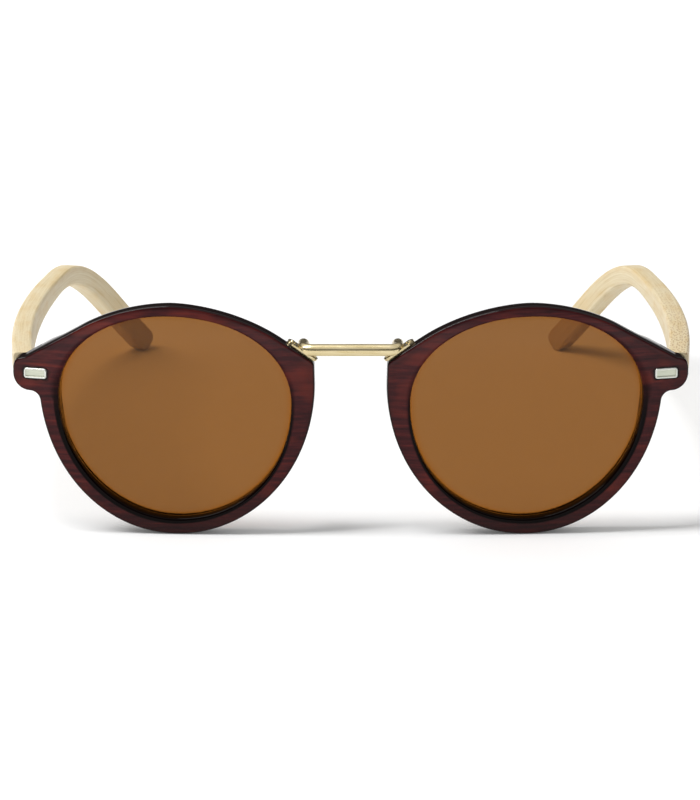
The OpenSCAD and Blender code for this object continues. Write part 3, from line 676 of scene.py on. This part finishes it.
# %% [markdown]
# Three cuts finish each moulded rim. The shallow pocket of the plaque is milled into the face of
# the end piece, a hair wider than the plaque, and that hair shows as a thin dark line all round it.
# A saw takes the end piece off square at the butt joint, and a small pocket behind it takes the
# anchor of the hinge. The anchor is 2.6 mm wide, 2.4 mm deep and 6 mm high, stands in line with the
# axis of the hinge, 65.2 mm from the middle of the glasses, and has a gap of 0.03 mm all round. The
# cutter of the plaque's pocket stands over the face, and the saw's block reaches well past the end
# piece.

# %% Drawing on the face
PLAQUE = {"at": (29.05, 10.1), "w": 4.9, "h": 2.2, "corner": 0.55}


def rounded_plate(w, h, radius, count=9):
    """Outline of a plate with rounded corners: a quarter circle at each corner."""
    corners = []
    for turn, (x, z) in enumerate(((1, 1), (-1, 1), (-1, -1), (1, -1))):
        a = np.radians(np.linspace(0, 90, count) + 90 * turn)
        corners.append(np.stack([x * (w / 2 - radius) + radius * np.cos(a),
                                 z * (h / 2 - radius) + radius * np.sin(a)], -1))
    return np.vstack(corners)


def on_face(points, side):
    """Takes points drawn round the plaque's middle, as across, depth and up, to their place on
    the ball-shaped front: tilted like the ball there, then placed like the rest of the front."""
    x, z = PLAQUE["at"]
    a, b = -math.asin(z / SIZE["ball"]), math.asin(x / SIZE["ball"])
    across, depth, up = points[..., 0], points[..., 1], points[..., 2]
    depth, up = depth * math.cos(a) - up * math.sin(a), depth * math.sin(a) + up * math.cos(a)
    across, depth = across * math.cos(b) - depth * math.sin(b), \
        across * math.sin(b) + depth * math.cos(b)
    return place_front(across + x, depth + ball(x, z), up + z, side)


def plate_rings(steps):
    """Rings of a plate: each step gives how far the outline is drawn in and its depth."""
    rings = []
    for inset, depth in steps:
        outline = rounded_plate(PLAQUE["w"] - 2 * inset, PLAQUE["h"] - 2 * inset,
                                max(PLAQUE["corner"] - inset, 0.12))
        rings.append(np.stack([outline[:, 0], np.full(len(outline), depth), outline[:, 1]], -1))
    return np.array(rings)


def box_mesh(low, high, side):
    """A box between two corners, mirrored for the left side."""
    x = np.sort(np.array([low[0], high[0]]) * side)
    outline = np.array([(0, 0), (1, 0), (1, 1), (0, 1)])
    rings = [np.stack([x[outline[:, 0]], np.array([low[1], high[1]])[outline[:, 1]],
                       np.full(4, z)], -1) for z in (low[2], high[2])]
    return cleaned(grid_mesh("box", np.array(rings), caps=True))


# %% Pockets and saw cut
HINGE = {"x": 65.2, "z": LENS_Z + 9.55, "anchor": (2.6, 2.4, 6.0)}
POCKET = {"room": 0.15, "deep": 0.62, "over": 1.5}
SEAT_GAP = 0.03
for side in (-1, 1):
    pocket_steps = [(-POCKET["room"], -POCKET["over"]), (-POCKET["room"], POCKET["deep"])]
    pocket = grid_mesh("pocket", on_face(plate_rings(pocket_steps), side), caps=True)
    half_w, half_h = HINGE["anchor"][0] / 2 + SEAT_GAP, HINGE["anchor"][2] / 2 + SEAT_GAP
    deep = HINGE["anchor"][1] + SEAT_GAP
    butt = SIZE["front"] + SIZE["butt"]
    saw = box_mesh((SIZE["lens_x"] + 20, butt, 10), (SIZE["lens_x"] + 40, butt + 12, 55), side)
    anchor = box_mesh((HINGE["x"] - half_w, butt - deep, HINGE["z"] - half_h),
                      (HINGE["x"] + half_w, butt + 1, HINGE["z"] + half_h), side)
    rim_meshes[side] = cleaned(cut(rim_meshes[side], saw, cleaned(pocket), anchor))
for side, name in ((-1, "left"), (1, "right")):
    dress("moulded_rim_" + name, rim_meshes[side], rim_material, "front",
          ["rim_" + name])
print("rim faces after milling:", len(rim_meshes[1].polygons))

# %% [markdown]
# ## The plaques
#
# Each plaque is a small pressed plate of silver-plated metal. A bright bevelled border runs round a
# sunk, brushed field, and the step down to the field leaves a thin darker line. The plate is made
# of rings: each step says how far its outline is drawn in and how deep it lies, where less than
# zero stands proud of the rim's face.
#
# Brushing leaves level scratches, here about 4 mm long and 0.08 mm apart. They spread the light, so
# the plate is a pale grey rather than a mirror, and the field is a little greyer than the border.
# It is made three quarters metal, because a full metal this small would only mirror the dim room.

# %% Plaques
plaque_steps = [(0.0, 0.5), (0.0, -0.04), (0.04, -0.13), (0.11, -0.19), (0.18, -0.2),
                (0.34, -0.19), (0.38, -0.14), (0.40, 0.10), (0.44, 0.12), (0.62, 0.12),
                (0.95, 0.12)]
silver, tree = new_material("brushed_silver_plated_metal")
where = add(tree, "ShaderNodeTexCoord").outputs["Object"]
brush = add(tree, "ShaderNodeTexNoise", inputs={
    "Vector": add(tree, "ShaderNodeMapping", inputs={
        "Vector": where, "Scale": (1 / 0.004, 1 / 0.004, 1 / 0.00008)}).outputs[0],
    "Scale": 1.0, "Detail": 3.0, "Roughness": 0.6})
silver_tone = add(tree, "ShaderNodeValToRGB", inputs={"Fac": brush.outputs["Fac"]}, stops=[
    (0.35, linear("#d0d2c9")), (0.65, linear("#e6e8e0"))])
sunk = add(tree, "ShaderNodeAttribute", {"attribute_name": "sunk"})
plated = add(tree, "ShaderNodeMix", {"data_type": "RGBA", "blend_type": "MULTIPLY"}, {
    "Factor": sunk.outputs["Fac"], "A": silver_tone.outputs[0], "B": linear("#eceee2")})
silver_rough = add(tree, "ShaderNodeMapRange", inputs={
    "Value": brush.outputs["Fac"], "From Min": 0.3, "From Max": 0.7, "To Min": 0.3,
    "To Max": 0.42})
metal = add(tree, "ShaderNodeBsdfPrincipled", inputs={
    "Base Color": plated.outputs["Result"], "Metallic": 0.75, "Roughness": silver_rough.outputs[0]})
add(tree, "ShaderNodeOutputMaterial", inputs={"Surface": metal.outputs[0]})
for side, name in ((-1, "left"), (1, "right")):
    rings = on_face(plate_rings(plaque_steps), side)
    field = np.append(np.repeat([depth > 0 and inset > 0 for inset, depth in plaque_steps],
                                len(rings[0])), [0, 1])
    plate = cleaned(mark(grid_mesh("plaque", rings, caps=True), "sunk", field))
    dress("silver_plaque_" + name, plate, silver, "front", ["plaque_" + name])

# %% [markdown]
# ## The lenses
#
# A lens is a thin shell between two balls of the same size, and its edge is ground to a V that
# snaps into the groove of the rim. Its grid runs from the middle out to the edge on the front,
# over the V, and back in to the middle behind.

# %% Lenses
GROOVE_PLAY = 0.05
LENS_FRONT = LENS_BACK + GROOVE_PLAY
INNER_RINGS = 12


def lens_surface(side):
    """Points of a lens. Rings of the opening's shape shrink towards a point 3 mm above the lens
    centre. A ring's depth is that of the ball, plus the lens thickness on the back."""
    angle = np.arange(0, 360, 1.5)
    edge = quarters(angle, OPENING)
    out = opening_out(angle)
    rim_line = edge - GROOVE_PLAY * out
    middle = np.array([0, 3.0])
    shares = np.concatenate([np.linspace(0.03, 0.9, INNER_RINGS), [0.95, 0.98, 1.0]])
    rings = [(middle + (rim_line - middle) * f, LENS_FRONT) for f in shares]
    rings += [(edge + 0.3 * out, LENS_FRONT + 0.35), (edge + 0.6 * out, LENS_FRONT + LENS_T / 2),
              (edge + 0.3 * out, LENS_FRONT + LENS_T - 0.35)]
    rings += [(middle + (rim_line - middle) * f, LENS_FRONT + LENS_T) for f in shares[::-1]]
    return np.array([place_front(q[:, 0], ball(q[:, 0], q[:, 1]) + d, q[:, 1], side)
                     for q, d in rings])


# %% [markdown]
# The lens is a polished plastic, dyed brown all through, with a coating against reflections. The
# coating matters more to the eye than the plastic: bare plastic with its IOR of 1.5 mirrors about
# 4 per cent of the light, and a coated lens about 1 per cent. An IOR of 1.22 gives that much, and
# it also bends the view through the lens as little as a thin, evenly curved shell should.
#
# Near its ground edge a deeper orange is painted, for the light that comes through more dye there.
# A shadow ray would be stopped by glass, so it meets a plain brown filter instead, and the lenses
# throw soft brown shadows as real ones do.

# %% Lens material
lens_material, tree = new_material("brown_tinted_lens")
# painted light: a deeper orange near the edge stands for the light that passes through more dye
near_edge = add(tree, "ShaderNodeAttribute", {"attribute_name": "near_edge"})
lens_tint = add(tree, "ShaderNodeMix", {"data_type": "RGBA", "blend_type": "MIX"}, {
    "Factor": near_edge.outputs["Fac"], "A": linear("#885b2c"), "B": linear("#8a5218")})
glass = add(tree, "ShaderNodeBsdfPrincipled", inputs={
    "Base Color": lens_tint.outputs["Result"], "Roughness": 0.0, "IOR": 1.22,
    "Transmission Weight": 1.0})
let_through = add(tree, "ShaderNodeBsdfTransparent", inputs={"Color": linear("#93663a")})
either = add(tree, "ShaderNodeMixShader", inputs={
    0: seen_by(tree, "Is Shadow Ray"), 1: glass.outputs[0], 2: let_through.outputs[0]})
add(tree, "ShaderNodeOutputMaterial", inputs={"Surface": either.outputs[0]})
for side, name in ((-1, "left"), (1, "right")):
    points = lens_surface(side)
    # the painted orange edge light grows over the last rings, on the front and on the back
    ring = np.minimum(np.arange(len(points)), np.arange(len(points))[::-1])
    near_rim = np.append(np.repeat(ease((ring - INNER_RINGS) / 2), len(points[0])), [0, 0])
    blank = cleaned(mark(grid_mesh("lens", points, caps=True), "near_edge", near_rim))
    dress("tinted_lens_" + name, blank, lens_material, "front", ["lens_" + name], 25)

# %% [markdown]
# ## The temples
#
# A temple is milled from bamboo. Its middle line leaves the hinge a little outwards, bows in
# again, and bends down behind the ear, where it also turns towards the head. We add it up from
# small steps: at each distance s along the temple a heading is known, and the line is the sum of
# all headings times the step. A rounded rectangle then runs along it.
#
# The sizes are, in mm: the distance of the temple's outer face from the lens centre, its thickness,
# its length, the length of its straight part and of its bend, its height at the hinge, at the start
# of the bend and near the tip, and the radius of its outward bow. In degrees: its slope before and
# after the bend, the angle at which it leaves the hinge, and the turn of the ear piece towards the
# head. Last come the radius of its long edges and the length over which its tip is rounded.

# %% Middle line of a temple
TEMPLE = {"out": 33.8, "t": 4.5, "length": 148.6, "straight": 86.6, "bend": 49.0,
          "heights": (7.7, 4.2, 5.6), "slopes": (3.0, 43.0), "flare": 7.9, "bow": 345.0,
          "ear": 29.0, "edge": 0.8, "tip": 3.2}
STEPS = 98
step = TEMPLE["length"] / STEPS


def heading(s):
    """Unit vector along the temple at distance s: an angle outwards and a slope downwards."""
    share = (s - TEMPLE["straight"]) / TEMPLE["bend"]
    first, last = TEMPLE["slopes"]
    down = np.radians(first + (last - first) * ease(share))
    out = np.radians(TEMPLE["flare"] - np.degrees(s / TEMPLE["bow"])
                     - TEMPLE["ear"] * ease(share / 1.6))
    return np.stack([np.sin(out) * np.cos(down), np.cos(out) * np.cos(down), -np.sin(down)], -1)


line = np.vstack([[0, 0, 0], np.cumsum(heading((np.arange(STEPS) + 0.5) * step) * step, 0)])


def temple_height(s):
    """Height of the temple: it falls evenly to the bend, and swells again towards the tip."""
    first, middle, last = TEMPLE["heights"]
    return np.where(s < TEMPLE["straight"], first + (middle - first) * s / TEMPLE["straight"],
                    middle + (last - middle) * ease((s - TEMPLE["straight"]) / 40))


def temple_sections(s, drop, inset=0.0):
    """Rounded rectangles across the line at distances s, drawn in by the inset. The drop stretches
    the line downwards. Near the tip the section shrinks like a circle's edge, to a sixth of its
    height and half its thickness. Over the first 30 mm the lower outer corner is rounded more
    towards the hinge, to run flush into the round end of the rim."""
    centre = np.stack([np.interp(s, np.arange(STEPS + 1) * step, line[:, i]) for i in range(3)], -1)
    ahead = heading(s) * (1, 1, drop)
    centre[:, 2] *= drop
    ahead /= np.linalg.norm(ahead, axis=1, keepdims=True)
    across = np.cross(ahead, (0, 0, 1))
    across /= np.linalg.norm(across, axis=1, keepdims=True)
    up = np.cross(across, ahead)
    into_tip = np.clip((s - TEMPLE["length"] + TEMPLE["tip"]) / TEMPLE["tip"], 0, 1)
    tip = np.sqrt(1 - 0.97 * into_tip ** 2)
    half_h = temple_height(s) / 2 * tip - inset
    half_t = TEMPLE["t"] / 2 * (0.4 + 0.6 * tip) - inset
    radius = np.minimum(TEMPLE["edge"] * (0.3 + 0.7 * tip), half_h * 0.95)
    flush = ease(1 - s / 30)
    ring = []
    for turn, (x, z) in enumerate(((1, 1), (-1, 1), (-1, -1), (1, -1))):
        wide, tall = radius, radius
        if turn == 3:
            wide = radius + flush * (0.95 * half_t - radius)
            tall = radius + flush * (0.9 * half_h - radius)
        for a in np.radians(np.linspace(0, 90, 6) + 90 * turn):
            sideways = (x * (half_t - wide) + wide * math.cos(a))[:, None]
            upwards = (z * (half_h - tall) + tall * math.sin(a))[:, None]
            ring.append(centre + across * sideways + up * upwards)
    return np.stack(ring, 1)


# %% Length and drop of the line
stations = np.concatenate([np.linspace(1.0, TEMPLE["length"] - TEMPLE["tip"], 150),
                           TEMPLE["length"] - TEMPLE["tip"]
                           + TEMPLE["tip"] * np.sin(np.radians(np.linspace(7, 90, 12)))])
drop = 1.0
for _ in range(3):
    # the tips have to stand on the table, so the drop is mended by what they miss it by
    low = temple_sections(stations, drop)[..., 2].min()
    drop -= (low + HINGE["z"]) / line[-1, 2]
print("the line drops", round(float(drop), 3), "times as steeply")


def temple_surface(side):
    """Points of a temple. Its first rings are pushed along the line until they lie flat in the
    butt joint."""
    start = []
    for inset, gap in ((0.3, 0.0), (0.08, 0.06), (0.0, 0.25)):
        ring = temple_sections(np.zeros(1), drop, inset)[0]
        ahead = heading(np.zeros(1))[0]
        ring = ring + ahead * ((SIZE["butt_gap"] + gap - ring[:, 1]) / ahead[1])[:, None]
        start.append(ring)
    points = np.concatenate([np.array(start), temple_sections(stations, drop)])
    x = SIZE["lens_x"] + TEMPLE["out"] - TEMPLE["t"] / 2 + points[..., 0]
    return np.stack([side * x, SIZE["front"] + SIZE["butt"] + points[..., 1],
                     HINGE["z"] + points[..., 2]], -1)


def temple_uv(points):
    """Distance along the temple and distance round it, both in mm."""
    rows, columns = points.shape[:2]
    ring = np.concatenate([points, points[:, :1]], 1)
    round_way = np.concatenate([np.zeros((rows, 1)),
                                np.cumsum(np.linalg.norm(np.diff(ring, axis=1), axis=2), 1)], 1)
    along = np.concatenate([[0, 0.1, 0.3], stations])
    return np.stack([np.repeat(along[:, None], columns + 1, 1), round_way], -1)


# %% [markdown]
# Bamboo is a bundle of hollow fibres in a pale straw-coloured flesh. On a face that runs with the
# fibres they show as fine long streaks, and where the tool has cut across them at a shallow angle
# they show as rows of little brown dots and dashes. The pattern is drawn in mm along and round the
# temple: streaks 18 mm long and 0.35 mm wide, dots in cells 1.8 mm long and 0.6 mm wide. The right
# temple was cut from a stalk with many more dots, most of them near its hinge. The inner faces run
# with the fibres and have none: their middle lies 8.5 mm round the temple from where the pattern
# starts, and the dots come in 3 to 4.2 mm from it. Clouds about 9 mm long and 3 mm wide make the
# straw colour warmer here and there. Sanded and oiled, the wood has a soft sheen, and its streaks
# can only just be felt.

# %% Bamboo
bamboo, tree = new_material("oiled_bamboo")
along = add(tree, "ShaderNodeUVMap", {"uv_map": "along_and_round"}).outputs[0]
streaks = add(tree, "ShaderNodeTexNoise", inputs={
    "Vector": add(tree, "ShaderNodeMapping", inputs={
        "Vector": along, "Scale": (1 / 18, 1 / 0.35, 1)}).outputs[0],
    "Scale": 1.0, "Detail": 4.0, "Roughness": 0.6})
clouds = add(tree, "ShaderNodeTexNoise", inputs={
    "Vector": add(tree, "ShaderNodeMapping", inputs={
        "Vector": along, "Scale": (1 / 9, 1 / 3, 1)}).outputs[0],
    "Scale": 1.0, "Detail": 2.0, "Roughness": 0.5})
flesh = add(tree, "ShaderNodeValToRGB", inputs={"Fac": streaks.outputs["Fac"]}, stops=[
    (0.25, linear("#c6b287")), (0.45, linear("#d6c59f")), (0.62, linear("#ddcfaf")),
    (0.8, linear("#cebc92"))])
warm = add(tree, "ShaderNodeMix", {"data_type": "RGBA", "blend_type": "MULTIPLY"}, {
    "Factor": add(tree, "ShaderNodeMapRange", inputs={
        "Value": clouds.outputs["Fac"], "From Min": 0.45, "From Max": 0.75, "To Max": 0.6}
        ).outputs[0], "A": flesh.outputs[0], "B": linear("#f3dfb4")})
cells = add(tree, "ShaderNodeTexVoronoi", {"feature": "F1", "voronoi_dimensions": "2D"}, {
    "Vector": add(tree, "ShaderNodeMapping", inputs={
        "Vector": along, "Scale": (1 / 1.8, 1 / 0.6, 1)}).outputs[0],
    "Scale": 1.0, "Randomness": 0.8})
dot = add(tree, "ShaderNodeMapRange", inputs={
    "Value": cells.outputs["Distance"], "From Min": 0.34, "From Max": 0.2})
near_hinge = add(tree, "ShaderNodeMapRange", inputs={
    "Value": add(tree, "ShaderNodeSeparateXYZ", inputs={0: along}).outputs["X"],
    "From Min": 80.0, "From Max": 15.0, "To Min": 0.08, "To Max": 0.75})
from_inner = add(tree, "ShaderNodeMath", {"operation": "ABSOLUTE"}, {
    0: add(tree, "ShaderNodeMath", {"operation": "SUBTRACT"}, {
        0: add(tree, "ShaderNodeSeparateXYZ", inputs={0: along}).outputs["Y"],
        1: 8.5}).outputs[0]})
off_inner = add(tree, "ShaderNodeMapRange", inputs={
    "Value": from_inner.outputs[0], "From Min": 3.0, "From Max": 4.2})
right_one = add(tree, "ShaderNodeMapRange", inputs={
    "Value": add(tree, "ShaderNodeSeparateXYZ", inputs={
        0: add(tree, "ShaderNodeTexCoord").outputs["Object"]}).outputs["X"],
    "From Min": -0.01, "From Max": 0.01, "To Min": 0.2, "To Max": 1.0})
dots = add(tree, "ShaderNodeMath", {"operation": "MULTIPLY"}, {
    0: dot.outputs[0], 1: add(tree, "ShaderNodeMath", {"operation": "MULTIPLY"}, {
        0: near_hinge.outputs[0], 1: add(tree, "ShaderNodeMath", {"operation": "MULTIPLY"}, {
            0: right_one.outputs[0], 1: off_inner.outputs[0]}).outputs[0]}).outputs[0]})
speckled = add(tree, "ShaderNodeMix", {"data_type": "RGBA", "blend_type": "MIX"}, {
    "Factor": dots.outputs[0], "A": warm.outputs["Result"], "B": linear("#a67f52")})
bumps = add(tree, "ShaderNodeBump", inputs={
    "Height": streaks.outputs["Fac"], "Strength": 0.15, "Distance": 0.0001})
wood = add(tree, "ShaderNodeBsdfPrincipled", inputs={
    "Base Color": speckled.outputs["Result"], "Roughness": 0.5, "IOR": 1.45,
    "Normal": bumps.outputs[0]})
add(tree, "ShaderNodeOutputMaterial", inputs={"Surface": wood.outputs[0]})

# %% [markdown]
# The leaf of the hinge is let into the inner face of the temple. Its recess is a box with a little
# room all round, open towards the hinge and tilted with the front end of the temple.

# %% Temples with their recess
LEAF = {"t": 0.9, "l": 12.6, "h": 4.4, "tilt": -6.9}


def leaf_recess(side):
    """The box that is milled out of the inner face for the leaf of the hinge: a rectangle turned
    by the tilt, between two heights."""
    x, y = (-2.0, LEAF["t"] + 2 * SEAT_GAP), (-1.0, LEAF["l"] + SEAT_GAP)
    c, s = math.cos(math.radians(LEAF["tilt"])), math.sin(math.radians(LEAF["tilt"]))
    flat = np.array([(a * c - b * s, a * s + b * c) for a, b in
                     ((x[0], y[0]), (x[1], y[0]), (x[1], y[1]), (x[0], y[1]))])
    flat += (SIZE["lens_x"] + TEMPLE["out"] - TEMPLE["t"], SIZE["front"] + SIZE["butt"])
    rings = [np.column_stack([side * flat[:, 0], flat[:, 1], np.full(4, HINGE["z"] + z)])
             for z in (-LEAF["h"] / 2 - SEAT_GAP, LEAF["h"] / 2 + SEAT_GAP)]
    return cleaned(grid_mesh("recess", np.array(rings), caps=True))


for side, name, body in ((-1, "left", "temple_l"), (1, "right", "temple_r")):
    points = temple_surface(side)
    blank = grid_mesh("temple", points, caps=True, uv=temple_uv(points))
    dress("bamboo_temple_" + name, cut(blank, leaf_recess(side)), bamboo, body,
          ["temple_" + name])

# %% [markdown]
# ## The bridge
#
# The bridge is one metal bar bent into a flat U. Its two legs run back and stand on the foot
# plates, which are screwed to the slanting shoulders of the rims. The bar is half round on top.
# We carry its section along the U, and then mill the legs off along the plates.
#
# The sizes of the bar are its width over both legs, its height and depth, how high its middle lies
# above the seat of the plates, how far it lies behind the foremost point of the front, the inner
# radius of its bends, the length of its legs, the thickness of the flat land under its middle, of
# which the section takes half, and the radius of its lower edges. The foot plates have their
# thickness, the gap under them, and how far they sit behind the middle of the rim's depth.

# %% Bar of the bridge
BAR = {"w": 22.4, "h": 2.4, "d": 2.5, "rise": 0.8, "back": 0.8, "bend": 0.6, "leg": 6.1,
       "land": 0.12, "round": 0.4}
FOOT = {"t": 0.6, "gap": 0.03, "behind": 0.2}


def seat_in_rim():
    """Middle of the seat in the flat drawing of a lens, its direction up the slope and its
    direction out of the rim. The middle of the foot plate lies under the leg of the bar."""
    a = math.radians(edge_out(seat_angle))
    normal = np.array([math.cos(a), math.sin(a)])
    low_end = CORNER + CORNER_R * normal
    along = quarters(np.array([seat_angle]), EDGE)[0] - low_end
    along /= np.linalg.norm(along)
    leg = BAR["w"] / 2 - BAR["d"] / 2 - SIZE["lens_x"]
    across = leg + (ball(*low_end) + RIM_DEPTH / 2) * math.sin(SIZE["wrap"]) \
        - (FOOT["t"] + FOOT["gap"]) * normal[0]
    return low_end + along * (across - low_end[0]) / along[0], along, normal


SEAT, UP_SLOPE, OUT_OF_RIM = seat_in_rim()


def bar_section(inset=0.0):
    """Section of the bar as distance towards the outside of the U and height: half a circle on
    top, and a flat underside with rounded corners. The inset draws the outline in evenly."""
    radius = BAR["d"] / 2
    low = BAR["land"] / 2 - BAR["h"] / 2 + BAR["round"]
    corner = max(BAR["round"] - inset, 0.02)
    return np.vstack([
        bow(np.array([0, BAR["h"] / 2 - radius]), radius - inset, 0, 180, 25),
        bow(np.array([BAR["round"] - radius, low]), corner, 180, 270, 7),
        bow(np.array([radius - BAR["round"], low]), corner, 270, 360, 7)])


def bar_surface():
    """Points of the bar. Seen from above, the path is a leg, a quarter circle, the bar, a
    quarter circle and a leg. Each ring is the section turned square to the path."""
    half = BAR["w"] / 2 - BAR["d"] / 2
    bend = BAR["d"] / 2 + BAR["bend"]
    leg_end = BAR["leg"] - BAR["d"] / 2
    turn = np.radians(np.linspace(0, 90, 14))
    leg_y = np.concatenate([[leg_end, leg_end - 0.05, leg_end - 0.16, leg_end - 0.38],
                            np.linspace(leg_end - 1.2, bend, 4)[:-1]])
    x = np.concatenate([np.full(len(leg_y), half), half - bend + bend * np.cos(turn)])
    y = np.concatenate([leg_y, bend - bend * np.sin(turn)])
    facing = np.concatenate([np.zeros(len(leg_y)), turn])
    inset = np.zeros(len(x))
    inset[:4] = (0.38, 0.20, 0.06, 0.0)
    across = np.linspace(half - bend, bend - half, 9)[1:-1]
    x = np.concatenate([x, across, -x[::-1]])
    y = np.concatenate([y, np.zeros(len(across)), y[::-1]])
    facing = np.concatenate([facing, np.full(len(across), math.pi / 2), math.pi - facing[::-1]])
    inset = np.concatenate([inset, np.zeros(len(across)), inset[::-1]])
    rings = np.array([bar_section(i) for i in inset])
    return np.stack([x[:, None] + rings[..., 0] * np.cos(facing)[:, None],
                     SIZE["front"] + BAR["back"] + BAR["d"] / 2 + y[:, None]
                     - rings[..., 0] * np.sin(facing)[:, None],
                     LENS_Z + SEAT[1] + BAR["rise"] + rings[..., 1]], -1)


def under_plate(side, half=8, thick=6):
    """A slab under the upper face of the foot plate, wide enough to take off all of a leg that
    would reach into the plate."""
    c, s = math.cos(SIZE["wrap"]), math.sin(SIZE["wrap"])
    along, normal = (np.array([side * v[0] * c, v[0] * s, v[1]]) for v in (UP_SLOPE, OUT_OF_RIM))
    depth = ball(*SEAT) + RIM_DEPTH / 2 + FOOT["behind"]
    middle = place_front(SEAT[0], depth, SEAT[1], side)
    top = middle + normal * (FOOT["t"] + 2 * FOOT["gap"])
    level = np.cross(along, normal)
    ring = np.array([top + along * a * half + level * b * half
                     for a, b in ((-1, -1), (1, -1), (1, 1), (-1, 1))])
    return cleaned(grid_mesh("slab", np.array([ring - thick * normal, ring]), caps=True))


# %% [markdown]
# The bar is taken to be brass, drawn, plated in pale gold and polished along its length. The polish
# leaves lines about 6 mm long and 0.4 mm wide that are a little duller or warmer, so its
# reflections are soft bands along the bar and not a sharp mirror image.

# %% Gold plating and the finished bar
gold, tree = new_material("pale_gold_plated_metal")
where = add(tree, "ShaderNodeTexCoord").outputs["Object"]
polish = add(tree, "ShaderNodeTexNoise", inputs={
    "Vector": add(tree, "ShaderNodeMapping", inputs={
        "Vector": where, "Scale": (1 / 0.006, 1 / 0.0004, 1 / 0.0004)}).outputs[0],
    "Scale": 1.0, "Detail": 3.0, "Roughness": 0.5})
gold_tone = add(tree, "ShaderNodeValToRGB", inputs={"Fac": polish.outputs["Fac"]}, stops=[
    (0.35, linear("#c2b184")), (0.65, linear("#d6c7a0"))])
gold_rough = add(tree, "ShaderNodeMapRange", inputs={
    "Value": polish.outputs["Fac"], "From Min": 0.3, "From Max": 0.7, "To Min": 0.24,
    "To Max": 0.32})
metal = add(tree, "ShaderNodeBsdfPrincipled", inputs={
    "Base Color": gold_tone.outputs[0], "Metallic": 1.0, "Roughness": gold_rough.outputs[0]})
add(tree, "ShaderNodeOutputMaterial", inputs={"Surface": metal.outputs[0]})
bar = cleaned(cut(cleaned(grid_mesh("bar", bar_surface(), caps=True)),
                  under_plate(-1), under_plate(1)))
dress("bent_bridge_bar", bar, gold, "front", ["bridge_bar"], 30)
print("bar faces:", len(bar.polygons))

# %% [markdown]
# ## The hinges, the foot plates and the screws
#
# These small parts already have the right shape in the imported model, but their edges are
# perfectly sharp, and no machined or plated part has such edges. We take a copy of each mesh,
# merge its doubled points and its flat triangles, and bevel every edge that turns by more than
# 35 degrees. The bevel catches the light as a thin bright line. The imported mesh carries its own
# shading, which no longer fits the bevelled copy and is dropped.

# %% Small metal parts
def softened(node, width):
    """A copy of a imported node's mesh whose sharp edges are bevelled by a width in mm."""
    work = bmesh.new()
    work.from_mesh(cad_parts[node].data)
    bmesh.ops.remove_doubles(work, verts=work.verts, dist=SAME)
    bmesh.ops.dissolve_limit(work, angle_limit=math.radians(1), verts=work.verts,
                             edges=work.edges)
    sharp = [edge for edge in work.edges
             if len(edge.link_faces) == 2 and edge.calc_face_angle() > math.radians(35)]
    bmesh.ops.bevel(work, geom=sharp, offset=width * MM, segments=2, profile=0.6,
                    affect="EDGES", clamp_overlap=True)
    bmesh.ops.recalc_face_normals(work, faces=work.faces)
    mesh = bpy.data.meshes.new(node)
    work.to_mesh(mesh)
    work.free()
    for extra in [a.name for a in mesh.attributes if a.name in ("custom_normal", "sharp_face")]:
        mesh.attributes.remove(mesh.attributes[extra])
    return mesh


# %% [markdown]
# The screws are turned from stainless steel. The turning tool leaves fine marks, about a quarter of
# a millimetre apart here, that make the grey metal shine a little unevenly. The foot plates, their
# screws and the hinges are plated in gold like the bar.

# %% Steel, and all the small pieces
steel, tree = new_material("turned_stainless_steel")
where = add(tree, "ShaderNodeTexCoord").outputs["Object"]
turning = add(tree, "ShaderNodeTexNoise", inputs={
    "Vector": where, "Scale": 1 / 0.00025, "Detail": 2.0, "Roughness": 0.5})
steel_rough = add(tree, "ShaderNodeMapRange", inputs={
    "Value": turning.outputs["Fac"], "From Min": 0.3, "From Max": 0.7, "To Min": 0.25,
    "To Max": 0.4})
metal = add(tree, "ShaderNodeBsdfPrincipled", inputs={
    "Base Color": linear("#a9a9a8"), "Metallic": 1.0, "Roughness": steel_rough.outputs[0]})
add(tree, "ShaderNodeOutputMaterial", inputs={"Surface": metal.outputs[0]})
# each row: name of the piece, its node, the width of its bevel, its finish, its body and its slot
for name, temple in (("left", "temple_l"), ("right", "temple_r")):
    for piece, node, width, finish, body, slot in (
            ("foot_plate_", "bridge_foot_", 0.12, gold, "front", "gold"),
            ("foot_plate_screws_", "bridge_screws_", 0.05, gold, "front", "gold"),
            ("front_knuckles_", "front_hinge_", 0.1, gold, "front", "gold"),
            ("pivot_screw_", "hinge_screw_", 0.05, steel, "front", "steel"),
            ("temple_leaf_", "temple_hinge_", 0.1, gold, temple, "gold"),
            ("leaf_screws_", "temple_screws_", 0.05, steel, temple, "steel")):
        dress(piece + name, softened(node + name, width), finish, body, [node + name])

# %% Finish
low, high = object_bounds()
